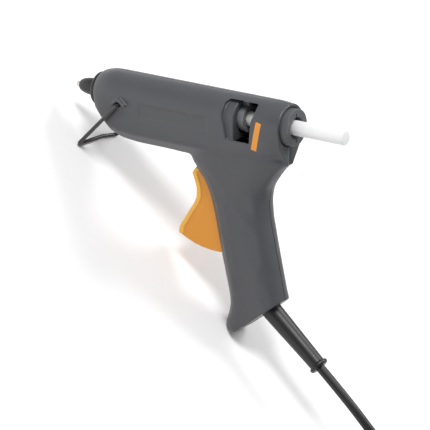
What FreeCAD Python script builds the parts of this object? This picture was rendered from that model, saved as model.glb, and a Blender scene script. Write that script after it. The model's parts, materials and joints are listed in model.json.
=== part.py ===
"""Hot-melt glue gun with its wire stand, feed mechanism, heater and mains lead.

The gun is drawn in its own frame: the stick runs along X, with the nozzle towards -X,
Z up from the grip to the barrel, and the seam of the two casing halves in the plane Y = 0.
At the end every piece is turned onto the bench: the gun rests nose down on its wire stand
and on the toe of its grip, and Z = 0 is the bench. All sizes are millimetres.
"""
import FreeCAD, Part
import math
import os

V = FreeCAD.Vector
AXIS_X = V(1, 0, 0)
AXIS_Y = V(0, 1, 0)
SIDES = (-1, 1)

# Casing: two halves, split at the plane Y = 0
REAR_FACE_X = -4.9
BODY_LENGTH = 169.6
BARREL_R = 18.0
WALL = 2.2
NOSE_RIM_DROP = 4.5
KEEL_DEPTH = 33.0
KEEL_FLOOR_HALF = 10.0
CREASE_DEPTH = 24.0
GRIP_HALF = 15.0
GRIP_ROUNDNESS = 2.4
GRIP_END_Z = -165.0
LABEL_DEPTH = 0.5
FIT = 0.05
RUNNING_GAP = 0.3
SIDE_GAP = 0.4

# Stick and its guide
STICK_R = 5.6
STICK_TAIL = 42.0
GUIDE_HOLE_GAP = 2.5
GUIDE_RING_WALL = 5.7
GUIDE_FLANGE = 1.5
GUIDE_FLANGE_LENGTH = 2.2
GUIDE_SLOT_WIDTH = 1.0

# Nose
NOZZLE_REACH = 25.3
NOZZLE_TIP_R = 2.25
NOZZLE_BODY_R = 5.0
NOZZLE_BORE_R = 1.0
NOZZLE_THREAD_R = 4.0
NOZZLE_THREAD_LENGTH = 8.0
NOZZLE_BARE_TIP = 4.0
SLEEVE_WALL = 1.7
CAP_LENGTH = 4.0
CAP_STEP = 0.3
CAP_GROOVE_DEPTH = 2.0
CAP_FLANGE_LIP = 1.2
CAP_FLANGE_LENGTH = 1.6

# Melt chamber and heater
CHAMBER_R = 9.0
CHAMBER_BORE_GAP = 0.5
CHAMBER_BLOCK_HALF = 8.0
CHAMBER_BLOCK_LENGTH = 44.0
HEATER_POCKET_HALF = 6.2
HEATER_POCKET_HEIGHT = 5.0
HEATER_POCKET_ROOF = 10.4
POCKET_FLOOR_WALL = 2.0
TILE_LENGTH = 12.0
TILE_HEIGHT = 2.4
TILE_COUNT = 3
ELECTRODE_HEIGHT = 0.4
FILM_HEIGHT = 0.3
SPIGOT_LENGTH = 8.0
SPIGOT_WALL = 1.4
INLET_WALL = 1.6
INLET_LENGTH = 17.5
CLAMP_BAND = 1.0

# Trigger and feed
PIVOT_X = -66.0
PIVOT_Z = -36.0
TRIGGER_PIN_R = 2.0
TRIGGER_HALF = 8.5
TRIGGER_WALL = 2.2
TRIGGER_SWING = 22.0
TRIGGER_REACH = 69.2
HUB_R = 5.0
HUB_GAP = 0.4
PIN_OVERRUN = 2.1
RIM_PROUD = 0.8
ARM_INNER = 9.9
ARM_THICKNESS = 2.8
DRIVE_ARM = 32.0
DRIVE_PIN_R = 2.2
DRIVE_SLOT_GAP = 0.25
ARM_END_WALL = 1.6
CARRIAGE_WALL = 3.3
CARRIAGE_STICK_GAP = 0.6
CARRIAGE_NOSE = 9.2
CARRIAGE_TAIL = 19.8
CARRIAGE_FLANGE_R = 11.0
CARRIAGE_COLLAR_R = 10.0
FIN_HALF = 1.6
JAW_HALF = 2.0
JAW_PIN_R = 1.0
JAW_LENGTH = 7.0
JAW_GAP = 0.5
SPRING_WIRE = 0.9
SPRING_TURNS = 5.0

# Wire stand
BAIL_WIRE_R = 1.5
BAIL_PIVOT_FROM_NOSE = 28.5
BAIL_PIVOT_Z = -2.5
BAIL_LEG = 52.0
BAIL_LEG_ANGLE = 225.0
BAIL_CORNER_HALF = 22.0
BAIL_SKEW = 4.5
BAIL_STUB_INSIDE = 4.0
GUARD_HEIGHT = 3.5
GUARD_ACROSS = 7.0
GUARD_FLOOR = 0.8

# Screws that close the casing, each at (X, Z)
SCREW_PLACES = ((-155.0, -24.3), (-104.0, -26.0), (-14.5, -23.5), (-27.0, -119.0), (-49.0, -147.5))
SCREW_R = 1.5
SCREW_HEAD_R = 2.8
SCREW_HEAD_HEIGHT = 2.0
SCREW_BOSS_R = 3.6
CLAMP_POST_R = 3.0

# Mains lead
CORD_R = 3.5
RELIEF_ROOT_X = -21.5
RELIEF_ROOT_Z = -144.2
RELIEF_ANGLE = -39.5
RELIEF_LENGTH = 56.5
RELIEF_ROOT_R = 7.5
RELIEF_END_R = 6.0
RELIEF_COLLAR_R = 7.5
RELIEF_COLLAR_LENGTH = 3.6
RELIEF_SOCKET = 6.0
CORD_TAIL_LENGTH = 17.0
LEAD_R = 0.9
CORD_FIRST_RUN = 35.0

# Where the lead lies, on the bench: down on to its tied hank, the hank's turns, and on to the plug
CORD_ROUTE = (V(236, 3.5, 42), V(264, 12.5, 35.5), V(291, 22.5, 24), V(314, 27.8, 17.5))
HANK_NEAR = V(281.5, 0, 0)
HANK_STRAIGHT = 56.0
HANK_COLUMNS = (28.0, 21.0)
HANK_LAYERS = 3
PLUG_LEAD_ROUTE = (V(339, -21, 17.5), V(324, -20, 19.2), V(307.5, -16.2, 24.6), V(292, -13, 27.85))

# Flat mains plug, moulded on, with two round pins
PLUG_WIDTH = 35.0
PLUG_HEIGHT = 13.7
PLUG_LENGTH = 30.0
PLUG_NECK_LENGTH = 24.0
PLUG_PIN_R = 2.0
PLUG_PIN_LENGTH = 19.0
PLUG_PIN_PITCH = 18.6

# Derived places
NOSE_X = REAR_FACE_X - BODY_LENGTH
NOSE_RIM_R = BARREL_R - NOSE_RIM_DROP
NOZZLE_TIP_X = NOSE_X - NOZZLE_REACH
CHAMBER_FRONT_X = NOSE_X + 6.5
SWING = math.radians(TRIGGER_SWING)
LEAN = SWING / 2.0
DRIVE_PIN_Z = PIVOT_Z + DRIVE_ARM
DRIVE_PIN_X = PIVOT_X + DRIVE_ARM * math.tan(LEAN)
CARRIAGE_TRAVEL = 2.0 * DRIVE_ARM * math.tan(LEAN)
CARRIAGE_FRONT_X = DRIVE_PIN_X - CARRIAGE_NOSE
CARRIAGE_REAR_X = DRIVE_PIN_X + CARRIAGE_TAIL
CARRIAGE_BORE_R = STICK_R + CARRIAGE_STICK_GAP
CARRIAGE_R = CARRIAGE_BORE_R + CARRIAGE_WALL
INLET_REAR_X = CARRIAGE_FRONT_X - CARRIAGE_TRAVEL - 1.5
INLET_FRONT_X = INLET_REAR_X - INLET_LENGTH
CHAMBER_REAR_X = INLET_FRONT_X + SPIGOT_LENGTH
CHAMBER_BORE_R = STICK_R + CHAMBER_BORE_GAP
SPIGOT_R = CHAMBER_BORE_R + SPIGOT_WALL
INLET_R = SPIGOT_R + INLET_WALL
BLOCK_FRONT_X = CHAMBER_FRONT_X + 8.0
BLOCK_REAR_X = BLOCK_FRONT_X + CHAMBER_BLOCK_LENGTH
POCKET_FLOOR_Z = -HEATER_POCKET_ROOF - HEATER_POCKET_HEIGHT
BLOCK_FLOOR_Z = POCKET_FLOOR_Z - POCKET_FLOOR_WALL
GUIDE_HOLE_R = STICK_R + GUIDE_HOLE_GAP
GUIDE_R = GUIDE_HOLE_R + GUIDE_RING_WALL
GUIDE_FLANGE_R = min(GUIDE_R + GUIDE_FLANGE, BARREL_R - WALL - 0.6)
GUIDE_FLANGE_X = REAR_FACE_X - WALL - FIT
CAP_FLANGE_X = NOSE_X + WALL + FIT
CAP_FLANGE_R = NOSE_RIM_R - CAP_GROOVE_DEPTH + CAP_FLANGE_LIP
BULKHEAD_X = CARRIAGE_REAR_X - 7.0
SPRING_SEAT_X = INLET_FRONT_X + 6.7
SPRING_R = INLET_R + 0.35 + SPRING_WIRE / 2.0
STICK_FRONT_X = CHAMBER_REAR_X - 30.0
BAIL_X = NOSE_X + BAIL_PIVOT_FROM_NOSE
BAIL_LEG_Y = BARREL_R + GUARD_FLOOR + RUNNING_GAP + BAIL_WIRE_R
CHAMBER_RIBS = (CHAMBER_FRONT_X + 4.0, BLOCK_FRONT_X + 19.0, INLET_FRONT_X - 4.0)
RIB = 2.0
HUB_HALF = ARM_INNER + ARM_THICKNESS
PIVOT_BOSS_Y = HUB_HALF + HUB_GAP
PIN_HALF = HUB_HALF + PIN_OVERRUN
SLOT_HALF = TRIGGER_HALF + RIM_PROUD + SIDE_GAP
RELIEF_DIR = V(math.cos(math.radians(RELIEF_ANGLE)), 0, math.sin(math.radians(RELIEF_ANGLE)))
RELIEF_ROOT = V(RELIEF_ROOT_X, 0, RELIEF_ROOT_Z)

# Body stations along X: (X, top radius, crease half width, crease Z, floor half width, floor Z)
BODY_STATIONS = (
    (NOSE_X, NOSE_RIM_R, NOSE_RIM_R - 1.3, -6.5, 5.5, -NOSE_RIM_R),
    (NOSE_X + 2.5, BARREL_R - 2.4, BARREL_R - 3.2, -9.0, 6.5, -17.0),
    (NOSE_X + 7.5, BARREL_R - 0.7, BARREL_R - 1.2, -14.0, 8.0, -23.0),
    (NOSE_X + 13.5, BARREL_R, BARREL_R - 0.2, -19.0, 9.2, -28.3),
    (NOSE_X + 24.5, BARREL_R, BARREL_R, 1.0 - CREASE_DEPTH, KEEL_FLOOR_HALF, 1.2 - KEEL_DEPTH),
    (NOSE_X + 39.5, BARREL_R, BARREL_R, -CREASE_DEPTH, KEEL_FLOOR_HALF, -KEEL_DEPTH),
    (-45.0, BARREL_R, BARREL_R, -CREASE_DEPTH, KEEL_FLOOR_HALF, -KEEL_DEPTH),
    (-15.0, BARREL_R, BARREL_R - 1.2, -18.0, 4.5, -31.5),
    (REAR_FACE_X, BARREL_R - 1.1, BARREL_R - 4.0, -13.0, 3.0, -29.0),
)

# Grip stations: (Z, front X, back X, half width added to the grip's own)
GRIP_STATIONS = (
    (-22.0, -98.0, -6.0, 1.8),
    (-30.0, -94.0, -7.0, 1.8),
    (-36.0, -90.0, -11.8, 1.8),
    (-43.0, -85.0, -17.0, 1.6),
    (-50.0, -78.8, -21.2, 1.3),
    (-60.0, -73.3, -23.0, 1.0),
    (-72.0, -69.6, -22.3, 0.8),
    (-90.0, -66.0, -18.6, 0.4),
    (-110.0, -61.8, -14.1, 0.0),
    (-130.0, -57.6, -9.7, -0.3),
    (-143.0, -55.4, -7.0, -0.3),
    (-153.0, -57.6, -5.0, 0.0),
    (-162.0, -60.2, -3.2, 0.2),
    (-172.0, -61.4, -1.5, 0.2),
)
# Foot of the grip in side view: toe, lowest tip, back corner
FOOT_TOE = V(-62.0, 0, GRIP_END_Z + 4.5)
FOOT_TIP = V(-47.0, 0, GRIP_END_Z)
FOOT_BACK = V(-9.0, 0, GRIP_END_Z + 31.0)
TOE_FLAT = 0.9

WINDOW_OUTLINE = (
    (-54.0, 12.6), (-51.5, 15.4), (-26.4, 15.2), (-26.6, 10.0), (-28.3, 4.0), (-29.8, -13.0),
    (-49.8, -12.7), (-51.3, -4.3), (-53.8, 5.0),
)


def cylinder(start, direction, radius, length):
    """A cylinder from a point along a direction."""
    return Part.makeCylinder(radius, length, start, direction)


def x_cylinder(x0, x1, radius):
    """A cylinder about the stick line, between two stations along it."""
    return cylinder(V(x0, 0, 0), AXIS_X, radius, x1 - x0)


def y_cylinder(x, z, radius, y0, y1):
    """A cylinder across the gun at one place, between two depths."""
    return cylinder(V(x, y0, z), AXIS_Y, radius, y1 - y0)


def box(x0, x1, y0, y1, z0, z1):
    """A box between its low and high limits on each axis."""
    return Part.makeBox(x1 - x0, y1 - y0, z1 - z0, V(x0, y0, z0))


def x_tube(x0, x1, outer, inner):
    """A tube about the stick line, between two stations along it."""
    return x_cylinder(x0, x1, outer).cut(x_cylinder(x0 - 1, x1 + 1, inner))


def side_prism(points, y0, y1):
    """A side-view outline of (X, Z) points, made solid from y0 to y1."""
    corners = [V(x, y0, z) for x, z in points]
    face = Part.Face(Part.makePolygon(corners + corners[:1]))
    return face.extrude(V(0, y1 - y0, 0))


def turned(profile):
    """A solid of revolution about the stick's axis from (X, radius) points."""
    corners = [V(x, 0, r) for x, r in profile]
    face = Part.Face(Part.makePolygon(corners + corners[:1]))
    return face.revolve(V(0, 0, 0), AXIS_X, 360)


def fused(first, *others):
    """Several solids joined into one."""
    return first.multiFuse(list(others)).removeSplitter()


def added(shape, others):
    """A solid with others joined on, one after another."""
    for other in others:
        shape = shape.fuse(other)
    return shape


def taken_from(shape, others):
    """A solid with others cut away, one after another."""
    for other in others:
        shape = shape.cut(other)
    return shape


def rounded_path(points, radius):
    """Straight runs through the points, joined by tangent arcs of one radius."""
    edges = []
    start = points[0]
    for here, corner, there in zip(points, points[1:], points[2:]):
        back = (here - corner).normalize()
        ahead = (there - corner).normalize()
        half_turn = (math.pi - back.getAngle(ahead)) / 2.0
        cut = radius * math.tan(half_turn)
        first = corner + back * cut
        last = corner + ahead * cut
        bisector = (back + ahead).normalize()
        centre = corner + bisector * (radius / math.cos(half_turn))
        middle = centre - bisector * radius
        edges.append(Part.LineSegment(start, first).toShape())
        edges.append(Part.Arc(first, middle, last).toShape())
        start = last
    edges.append(Part.LineSegment(start, points[-1]).toShape())
    return Part.Wire(edges)


def swept(path, radius):
    """A round section carried along a path."""
    start = path.Edges[0].Vertexes[0].Point
    ahead = path.Edges[0].tangentAt(path.Edges[0].FirstParameter)
    ring = Part.Wire(Part.makeCircle(radius, start, ahead))
    return path.makePipeShell([ring], True, True)


def body_section(station, inset):
    """One cross-section of the barrel and its keel: a round top, upright sides and bevels."""
    x, top_r, crease_half, crease_z, floor_half, floor_z = station
    top_r = top_r - inset
    crease_half = crease_half - inset
    crease_z = crease_z + 0.5 * inset
    floor_half = max(floor_half - 0.5 * inset, 0.6)
    floor_z = floor_z + inset
    corners = [
        V(x, top_r, 0), V(x, crease_half, crease_z), V(x, floor_half, floor_z),
        V(x, -floor_half, floor_z), V(x, -crease_half, crease_z), V(x, -top_r, 0),
    ]
    edges = [Part.makeLine(a, b) for a, b in zip(corners, corners[1:])]
    edges.append(Part.Arc(corners[-1], V(x, 0, top_r), corners[0]).toShape())
    return Part.Wire(edges)


def body_solid(inset):
    """Barrel and keel as one solid, pulled in by an inset on every side."""
    stations = list(BODY_STATIONS)
    first = (stations[0][0] + inset,) + stations[0][1:]
    last = (stations[-1][0] - inset,) + stations[-1][1:]
    sections = [first] + stations[1:-1] + [last]
    if inset > 2.0:
        sections = [s for s in sections if first[0] + 0.5 < s[0] or s is first]
    return Part.makeLoft([body_section(s, inset) for s in sections], True, True)


def grip_section(station, inset):
    """One level section of the grip, a rounded oblong."""
    z, front, back, extra = station
    centre = (front + back) / 2.0
    depth = (back - front) / 2.0 - inset
    half = GRIP_HALF + extra - inset
    count = 16
    points = []
    for step in range(count):
        angle = 2.0 * math.pi * step / count
        c, s = math.cos(angle), math.sin(angle)
        across = math.copysign(abs(c) ** (2.0 / GRIP_ROUNDNESS), c)
        side = math.copysign(abs(s) ** (2.0 / GRIP_ROUNDNESS), s)
        points.append(V(centre + depth * across, half * side, z))
    curve = Part.BSplineCurve()
    curve.interpolate(points, PeriodicFlag=True)
    return Part.Wire(curve.toShape())


def below_line(a, b, inset):
    """A slab that takes away everything under the line a-b in side view, raised by the inset."""
    along = (b - a).normalize()
    up = V(-along.z, 0, along.x)
    start = a + up * inset - along * 120
    end = b + up * inset + along * 120
    low_start = start - up * 80
    low_end = end - up * 80
    outline = [(p.x, p.z) for p in (start, end, low_end, low_start)]
    return side_prism(outline, -60, 60)


def grip_solid(inset):
    """The grip, shrunk inwards by a wall thickness."""
    sections = [grip_section(s, inset) for s in GRIP_STATIONS]
    grip = Part.makeLoft(sections, True, False)
    grip = grip.cut(below_line(FOOT_TOE, FOOT_TIP, inset))
    return grip.cut(below_line(FOOT_TIP, FOOT_BACK, inset))


def bail_corner(side):
    """Where a leg of the stand meets its crossbar, in side view."""
    angle = math.radians(BAIL_LEG_ANGLE)
    if side > 0:
        angle = angle + BAIL_SKEW / BAIL_LEG
    x = BAIL_X + BAIL_LEG * math.cos(angle)
    z = BAIL_PIVOT_Z + BAIL_LEG * math.sin(angle)
    return V(x, 0, z)


def up_from_bench(tilt):
    """The bench's upward direction as the gun sees it."""
    return V(math.sin(tilt), 0, math.cos(tilt))


def toe_height(grip, tilt):
    """How far the grip's toe lies above the bench at a tilt."""
    turned_grip = grip.copy()
    turned_grip.rotate(V(0, 0, 0), AXIS_Y, -math.degrees(tilt))
    return turned_grip.optimalBoundingBox(False, False).ZMin


def bench_tilt(grip):
    """The turn about Y that sets the crossbar of the stand and the toe of the grip on one level."""
    def lack(tilt):
        bar = bail_corner(-1).dot(up_from_bench(tilt)) - BAIL_WIRE_R
        return toe_height(grip, tilt) + TOE_FLAT - bar
    low, high = math.radians(40.0), math.radians(50.0)
    low_lack, high_lack = lack(low), lack(high)
    for _ in range(3):
        middle = low - low_lack * (high - low) / (high_lack - low_lack)
        low, low_lack, high, high_lack = high, high_lack, middle, lack(middle)
    return high


def casing_ribs(inner_body):
    """Upright walls inside the casing: they hold the melt chamber, seat the spring and guide the feed."""
    lead_notch = box(-200, 0, -6.0, BARREL_R, -23.0, -11.5)
    pocket = x_cylinder(NOSE_X, SPRING_SEAT_X + 1, CHAMBER_R + FIT)
    block = box(
        BLOCK_FRONT_X - SIDE_GAP, BLOCK_REAR_X + SIDE_GAP,
        -CHAMBER_BLOCK_HALF - FIT, CHAMBER_BLOCK_HALF + FIT, BLOCK_FLOOR_Z - FIT, 0,
    )
    ribs = []
    for x in CHAMBER_RIBS:
        slab = box(x, x + RIB, -40, 40, -40, 40)
        ribs.append(inner_body.common(slab).cut(pocket).cut(block))
    ribs[-1] = ribs[-1].cut(lead_notch)
    seat = inner_body.common(box(SPRING_SEAT_X - RIB, SPRING_SEAT_X, -40, 40, -40, 40))
    ribs.append(seat.cut(x_cylinder(-200, 0, INLET_R + 0.15)).cut(lead_notch))
    guide = fused(
        box(SPRING_SEAT_X + 4, BULKHEAD_X, FIN_HALF + RUNNING_GAP, FIN_HALF + RUNNING_GAP + 1.6, 11.6, 30),
        box(SPRING_SEAT_X + 4, BULKHEAD_X, -FIN_HALF - RUNNING_GAP - 1.6, -FIN_HALF - RUNNING_GAP, 11.6, 30),
    )
    bulkhead = box(BULKHEAD_X, BULKHEAD_X + RIB, -40, 40, -14.5, 40)
    passage = x_cylinder(-200, 0, CARRIAGE_COLLAR_R + SIDE_GAP)
    fin_slot = box(-200, 0, -FIN_HALF - RUNNING_GAP, FIN_HALF + RUNNING_GAP, 0, BARREL_R - WALL - FIT)
    ribs.append(inner_body.common(guide))
    ribs.append(inner_body.common(bulkhead).cut(passage).cut(fin_slot))
    return ribs


def window_ledge(inner_body):
    """The set-back wall at the front of the inspection window, on the left half only."""
    outer = inner_body.common(box(WINDOW_OUTLINE[0][0] - 2, BULKHEAD_X + RIB, -40, -4.0, -16, 40))
    return outer.cut(body_solid(WALL + 2.5))


def window_cut():
    """The inspection window, which stops at the set-back wall along its front."""
    opening = side_prism(WINDOW_OUTLINE, -30, -2)
    keep = body_solid(WALL + 0.6).common(box(-80, BULKHEAD_X + RIB, -40, 0, -40, 40))
    return opening.cut(keep)


def screw_boss(x, z, outer):
    """The pillar in one half that a casing screw runs into."""
    return y_cylinder(x, z, SCREW_BOSS_R, -30, 30).common(outer)


def screw_holes(x, z):
    """The way for one screw: a sunk head and a shank from the right, a blind pilot in the left half."""
    head_seat = screw_head_y(x, z)
    shank = y_cylinder(x, z, SCREW_R + FIT, -9.0, 30)
    head = y_cylinder(x, z, SCREW_HEAD_R + 0.2, head_seat, 30)
    return fused(shank, head)


def screw_head_y(x, z):
    """How far out the head of a casing screw sits, set by the width of the casing there."""
    if z > -40:
        return 7.0
    return GRIP_HALF - 6.0


def guard_sector(reach):
    """The fan in side view that a leg of the stand sweeps, with its own width round it."""
    half = BAIL_WIRE_R + 0.6
    start = math.radians(BAIL_LEG_ANGLE)
    sweep = math.radians(bail_fold())
    points = []
    count = 8
    for step in range(count + 1):
        angle = start - 0.02 + (sweep + 0.15) * step / count
        points.append((BAIL_X + reach * math.cos(angle), BAIL_PIVOT_Z + reach * math.sin(angle)))
    across = V(math.sin(start), 0, -math.cos(start)) * half
    points.insert(0, (points[0][0] + across.x, points[0][1] + across.z))
    points.insert(0, (BAIL_X + across.x, BAIL_PIVOT_Z + across.z))
    end = start + sweep + 0.13
    past = V(-math.sin(end), 0, math.cos(end)) * half
    points.append((points[-1][0] + past.x, points[-1][1] + past.z))
    points.append((BAIL_X + past.x, BAIL_PIVOT_Z + past.z))
    return points


def bail_fold():
    """Degrees that the stand folds back before its crossbar meets the keel."""
    stop_z = -(KEEL_DEPTH + BAIL_WIRE_R + 1.0)
    skew = math.degrees(BAIL_SKEW / BAIL_LEG)
    stop_angle = 360.0 + math.degrees(math.asin((stop_z - BAIL_PIVOT_Z) / BAIL_LEG))
    return math.floor(stop_angle - BAIL_LEG_ANGLE - skew)


def stand_guards():
    """The raised lozenges round the ends of the stand, open where its legs swing."""
    a = GUARD_ACROSS
    lozenge = [
        (BAIL_X - a, BAIL_PIVOT_Z), (BAIL_X, BAIL_PIVOT_Z + a * 0.75),
        (BAIL_X + a, BAIL_PIVOT_Z), (BAIL_X, BAIL_PIVOT_Z - a * 0.75),
    ]
    fan = fused(
        side_prism(guard_sector(3.0 * a), -40, 40),
        y_cylinder(BAIL_X, BAIL_PIVOT_Z, BAIL_WIRE_R + 0.6, -40, 40),
    )
    fan = fan.cut(box(-250, 0, -BARREL_R - GUARD_FLOOR, BARREL_R + GUARD_FLOOR, -100, 100))
    guards = side_prism(lozenge, -BARREL_R - GUARD_HEIGHT, BARREL_R + GUARD_HEIGHT)
    guards = guards.cut(box(-250, 0, -BARREL_R + WALL, BARREL_R - WALL, -100, 100))
    return guards.cut(fan)


def trigger_slot():
    """The mouth in the front of the grip that the trigger stands in."""
    mouth = side_prism(
        ((-130, -39.3), (-62, -39.3), (-45, -60), (-45, -112), (-130, -112)), -SLOT_HALF, SLOT_HALF,
    )
    return mouth.common(y_cylinder(PIVOT_X, PIVOT_Z, TRIGGER_REACH + SIDE_GAP, -30, 30))


def clamp_centre():
    """Where the cord clamp grips the cord."""
    return RELIEF_ROOT - RELIEF_DIR * 13.5


def clamp_ends():
    """The places of the clamp's two screws."""
    across = V(-RELIEF_DIR.z, 0, RELIEF_DIR.x)
    return [clamp_centre() + across * (side * (CORD_R + 3.8)) for side in SIDES]


def casing(outer, inner, foot_cut):
    """Both casing halves, left (-Y) and right (+Y)."""
    half_space = {-1: box(-300, 100, -60, 0, -250, 60), 1: box(-300, 100, 0, 60, -250, 60)}
    inner_body = body_solid(WALL)
    left_shell = outer.cut(inner).common(half_space[-1])
    shells = {-1: left_shell, 1: left_shell.mirror(V(0, 0, 0), AXIS_Y)}
    inside = casing_ribs(inner_body)
    inside += [screw_boss(x, z, outer) for x, z in SCREW_PLACES]
    inside.append(stand_guards())
    for side in SIDES:
        y0, y1 = sorted((side * PIVOT_BOSS_Y, side * 30))
        inside.append(y_cylinder(PIVOT_X, PIVOT_Z, TRIGGER_PIN_R + 2.4, y0, y1).common(outer))
    cap_neck = NOSE_RIM_R - CAP_GROOVE_DEPTH + FIT
    stub = y_cylinder(BAIL_X, BAIL_PIVOT_Z, BAIL_WIRE_R + 0.1, -30, 30)
    openings = [screw_holes(x, z) for x, z in SCREW_PLACES] + [
        trigger_slot(),
        x_cylinder(NOSE_X - 1, NOSE_X + WALL + 1, cap_neck),
        x_cylinder(CAP_FLANGE_X - FIT, CAP_FLANGE_X + CAP_FLANGE_LENGTH + FIT, CAP_FLANGE_R + FIT),
        x_cylinder(REAR_FACE_X - WALL - 1, REAR_FACE_X + 1, GUIDE_R + 0.6),
        x_cylinder(GUIDE_FLANGE_X - GUIDE_FLANGE_LENGTH - FIT, GUIDE_FLANGE_X + FIT, GUIDE_FLANGE_R + FIT),
        y_cylinder(PIVOT_X, PIVOT_Z, TRIGGER_PIN_R + FIT, -PIN_HALF - FIT, PIN_HALF + FIT),
        stub.cut(x_cylinder(-200, 0, CHAMBER_R + 2)),
        cylinder(RELIEF_ROOT - RELIEF_DIR * 5.5, RELIEF_DIR, RELIEF_ROOT_R + FIT, 14.0),
        foot_cut,
    ]
    halves = {}
    for side, name in ((-1, "housing_left"), (1, "housing_right")):
        half = added(shells[side], [piece.common(half_space[side]) for piece in inside])
        if side < 0:
            half = half.fuse(window_ledge(inner_body))
            for end in clamp_ends():
                post = y_cylinder(end.x, end.z, CLAMP_POST_R, -30, 0).common(outer)
                half = half.fuse(post).fuse(y_cylinder(end.x, end.z, CLAMP_POST_R, 0, CORD_R))
            half = half.cut(window_cut())
            half = half.cut(box(-128.7, -65.5, -BARREL_R - 1, LABEL_DEPTH - BARREL_R, -10.0, 0.5))
            for end in clamp_ends():
                half = half.cut(y_cylinder(end.x, end.z, SCREW_R + FIT, -4.0, 30))
        halves[name] = taken_from(half, openings)
    return halves


def casing_screws():
    """The five screws that hold the two halves together."""
    screws = []
    for x, z in SCREW_PLACES:
        seat = screw_head_y(x, z)
        screw = fused(
            y_cylinder(x, z, SCREW_R, -8.5, seat),
            y_cylinder(x, z, SCREW_HEAD_R, seat, seat + SCREW_HEAD_HEIGHT),
        )
        drive = y_cylinder(x, z, 1.1, seat + 0.8, seat + 5)
        screws.append(screw.cut(drive))
    return Part.makeCompound(screws)


def front_cap():
    """The black ring that closes the nose, held by its groove between the casing halves."""
    r = NOSE_RIM_R - CAP_STEP
    face = NOSE_X - CAP_LENGTH
    neck = NOSE_RIM_R - CAP_GROOVE_DEPTH
    hole = NOZZLE_BODY_R + SLEEVE_WALL + FIT
    back = CAP_FLANGE_X + CAP_FLANGE_LENGTH
    return turned([
        (face, hole), (face, r - 1.6), (face + 0.6, r - 0.5), (face + 1.8, r), (NOSE_X, r),
        (NOSE_X, neck), (CAP_FLANGE_X, neck), (CAP_FLANGE_X, CAP_FLANGE_R), (back, CAP_FLANGE_R), (back, hole),
    ])


def nozzle():
    """The metal nozzle: a thread in the melt chamber, a collar, a body and a fine bare tip."""
    tip = NOZZLE_TIP_X
    cone = tip + 6.0
    shoulder = cone + 10.0
    collar = CHAMBER_FRONT_X - 3.0
    body = turned([
        (tip, NOZZLE_BORE_R), (tip, NOZZLE_TIP_R - 0.5), (tip + 0.8, NOZZLE_TIP_R),
        (cone, NOZZLE_TIP_R + 0.3), (shoulder, NOZZLE_BODY_R), (collar, NOZZLE_BODY_R),
        (collar, NOZZLE_BODY_R + 1.4), (CHAMBER_FRONT_X, NOZZLE_BODY_R + 1.4),
        (CHAMBER_FRONT_X, NOZZLE_THREAD_R), (CHAMBER_FRONT_X + NOZZLE_THREAD_LENGTH, NOZZLE_THREAD_R),
        (CHAMBER_FRONT_X + NOZZLE_THREAD_LENGTH, NOZZLE_BORE_R + 1.2), (collar, NOZZLE_BORE_R),
    ])
    return body


def nozzle_sleeve():
    """The heat-proof rubber sleeve over the nozzle, domed down to the bare tip."""
    tip = NOZZLE_TIP_X
    cone = tip + 6.0
    shoulder = cone + 10.0
    end = tip + NOZZLE_BARE_TIP
    back = NOSE_X - CAP_LENGTH + 2.5
    outer_r = NOZZLE_BODY_R + SLEEVE_WALL
    reach = back - 6.0 - end
    profile = [(back, NOZZLE_BODY_R + FIT), (back, outer_r)]
    count = 6
    for step in range(count + 1):
        angle = math.radians(78.0) * step / count
        x = back - 6.0 - reach * math.sin(angle) / math.sin(math.radians(78.0))
        profile.append((x, NOZZLE_TIP_R + 0.6 + (outer_r - NOZZLE_TIP_R - 0.6) * math.cos(angle)))
    profile.append((end, NOZZLE_TIP_R + 0.25))
    profile.append((cone, NOZZLE_TIP_R + 0.3 + FIT))
    profile.append((shoulder, NOZZLE_BODY_R + FIT))
    return turned(profile)


def melt_chamber():
    """The cast chamber: a tapering bore for the stick, a heater block below and a rear spigot."""
    neck = CHAMBER_REAR_X - SPIGOT_LENGTH
    straight_end = STICK_FRONT_X - CARRIAGE_TRAVEL - 2.0
    block = box(
        BLOCK_FRONT_X, BLOCK_REAR_X, -CHAMBER_BLOCK_HALF, CHAMBER_BLOCK_HALF, BLOCK_FLOOR_Z, 0,
    )
    body = fused(
        x_cylinder(CHAMBER_FRONT_X, neck, CHAMBER_R),
        x_cylinder(neck - 1, CHAMBER_REAR_X, SPIGOT_R),
        block,
    )
    bore = turned([
        (CHAMBER_REAR_X + 1, 0), (CHAMBER_REAR_X + 1, CHAMBER_BORE_R), (straight_end, CHAMBER_BORE_R),
        (CHAMBER_FRONT_X + NOZZLE_THREAD_LENGTH + 1, 2.6),
        (CHAMBER_FRONT_X + NOZZLE_THREAD_LENGTH + 1, NOZZLE_THREAD_R + FIT),
        (CHAMBER_FRONT_X - 1, NOZZLE_THREAD_R + FIT), (CHAMBER_FRONT_X - 1, 0),
    ])
    pocket = box(
        BLOCK_FRONT_X + 3, BLOCK_REAR_X + 1, -HEATER_POCKET_HALF, HEATER_POCKET_HALF,
        POCKET_FLOOR_Z, -HEATER_POCKET_ROOF,
    )
    return body.cut(bore).cut(pocket)


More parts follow.
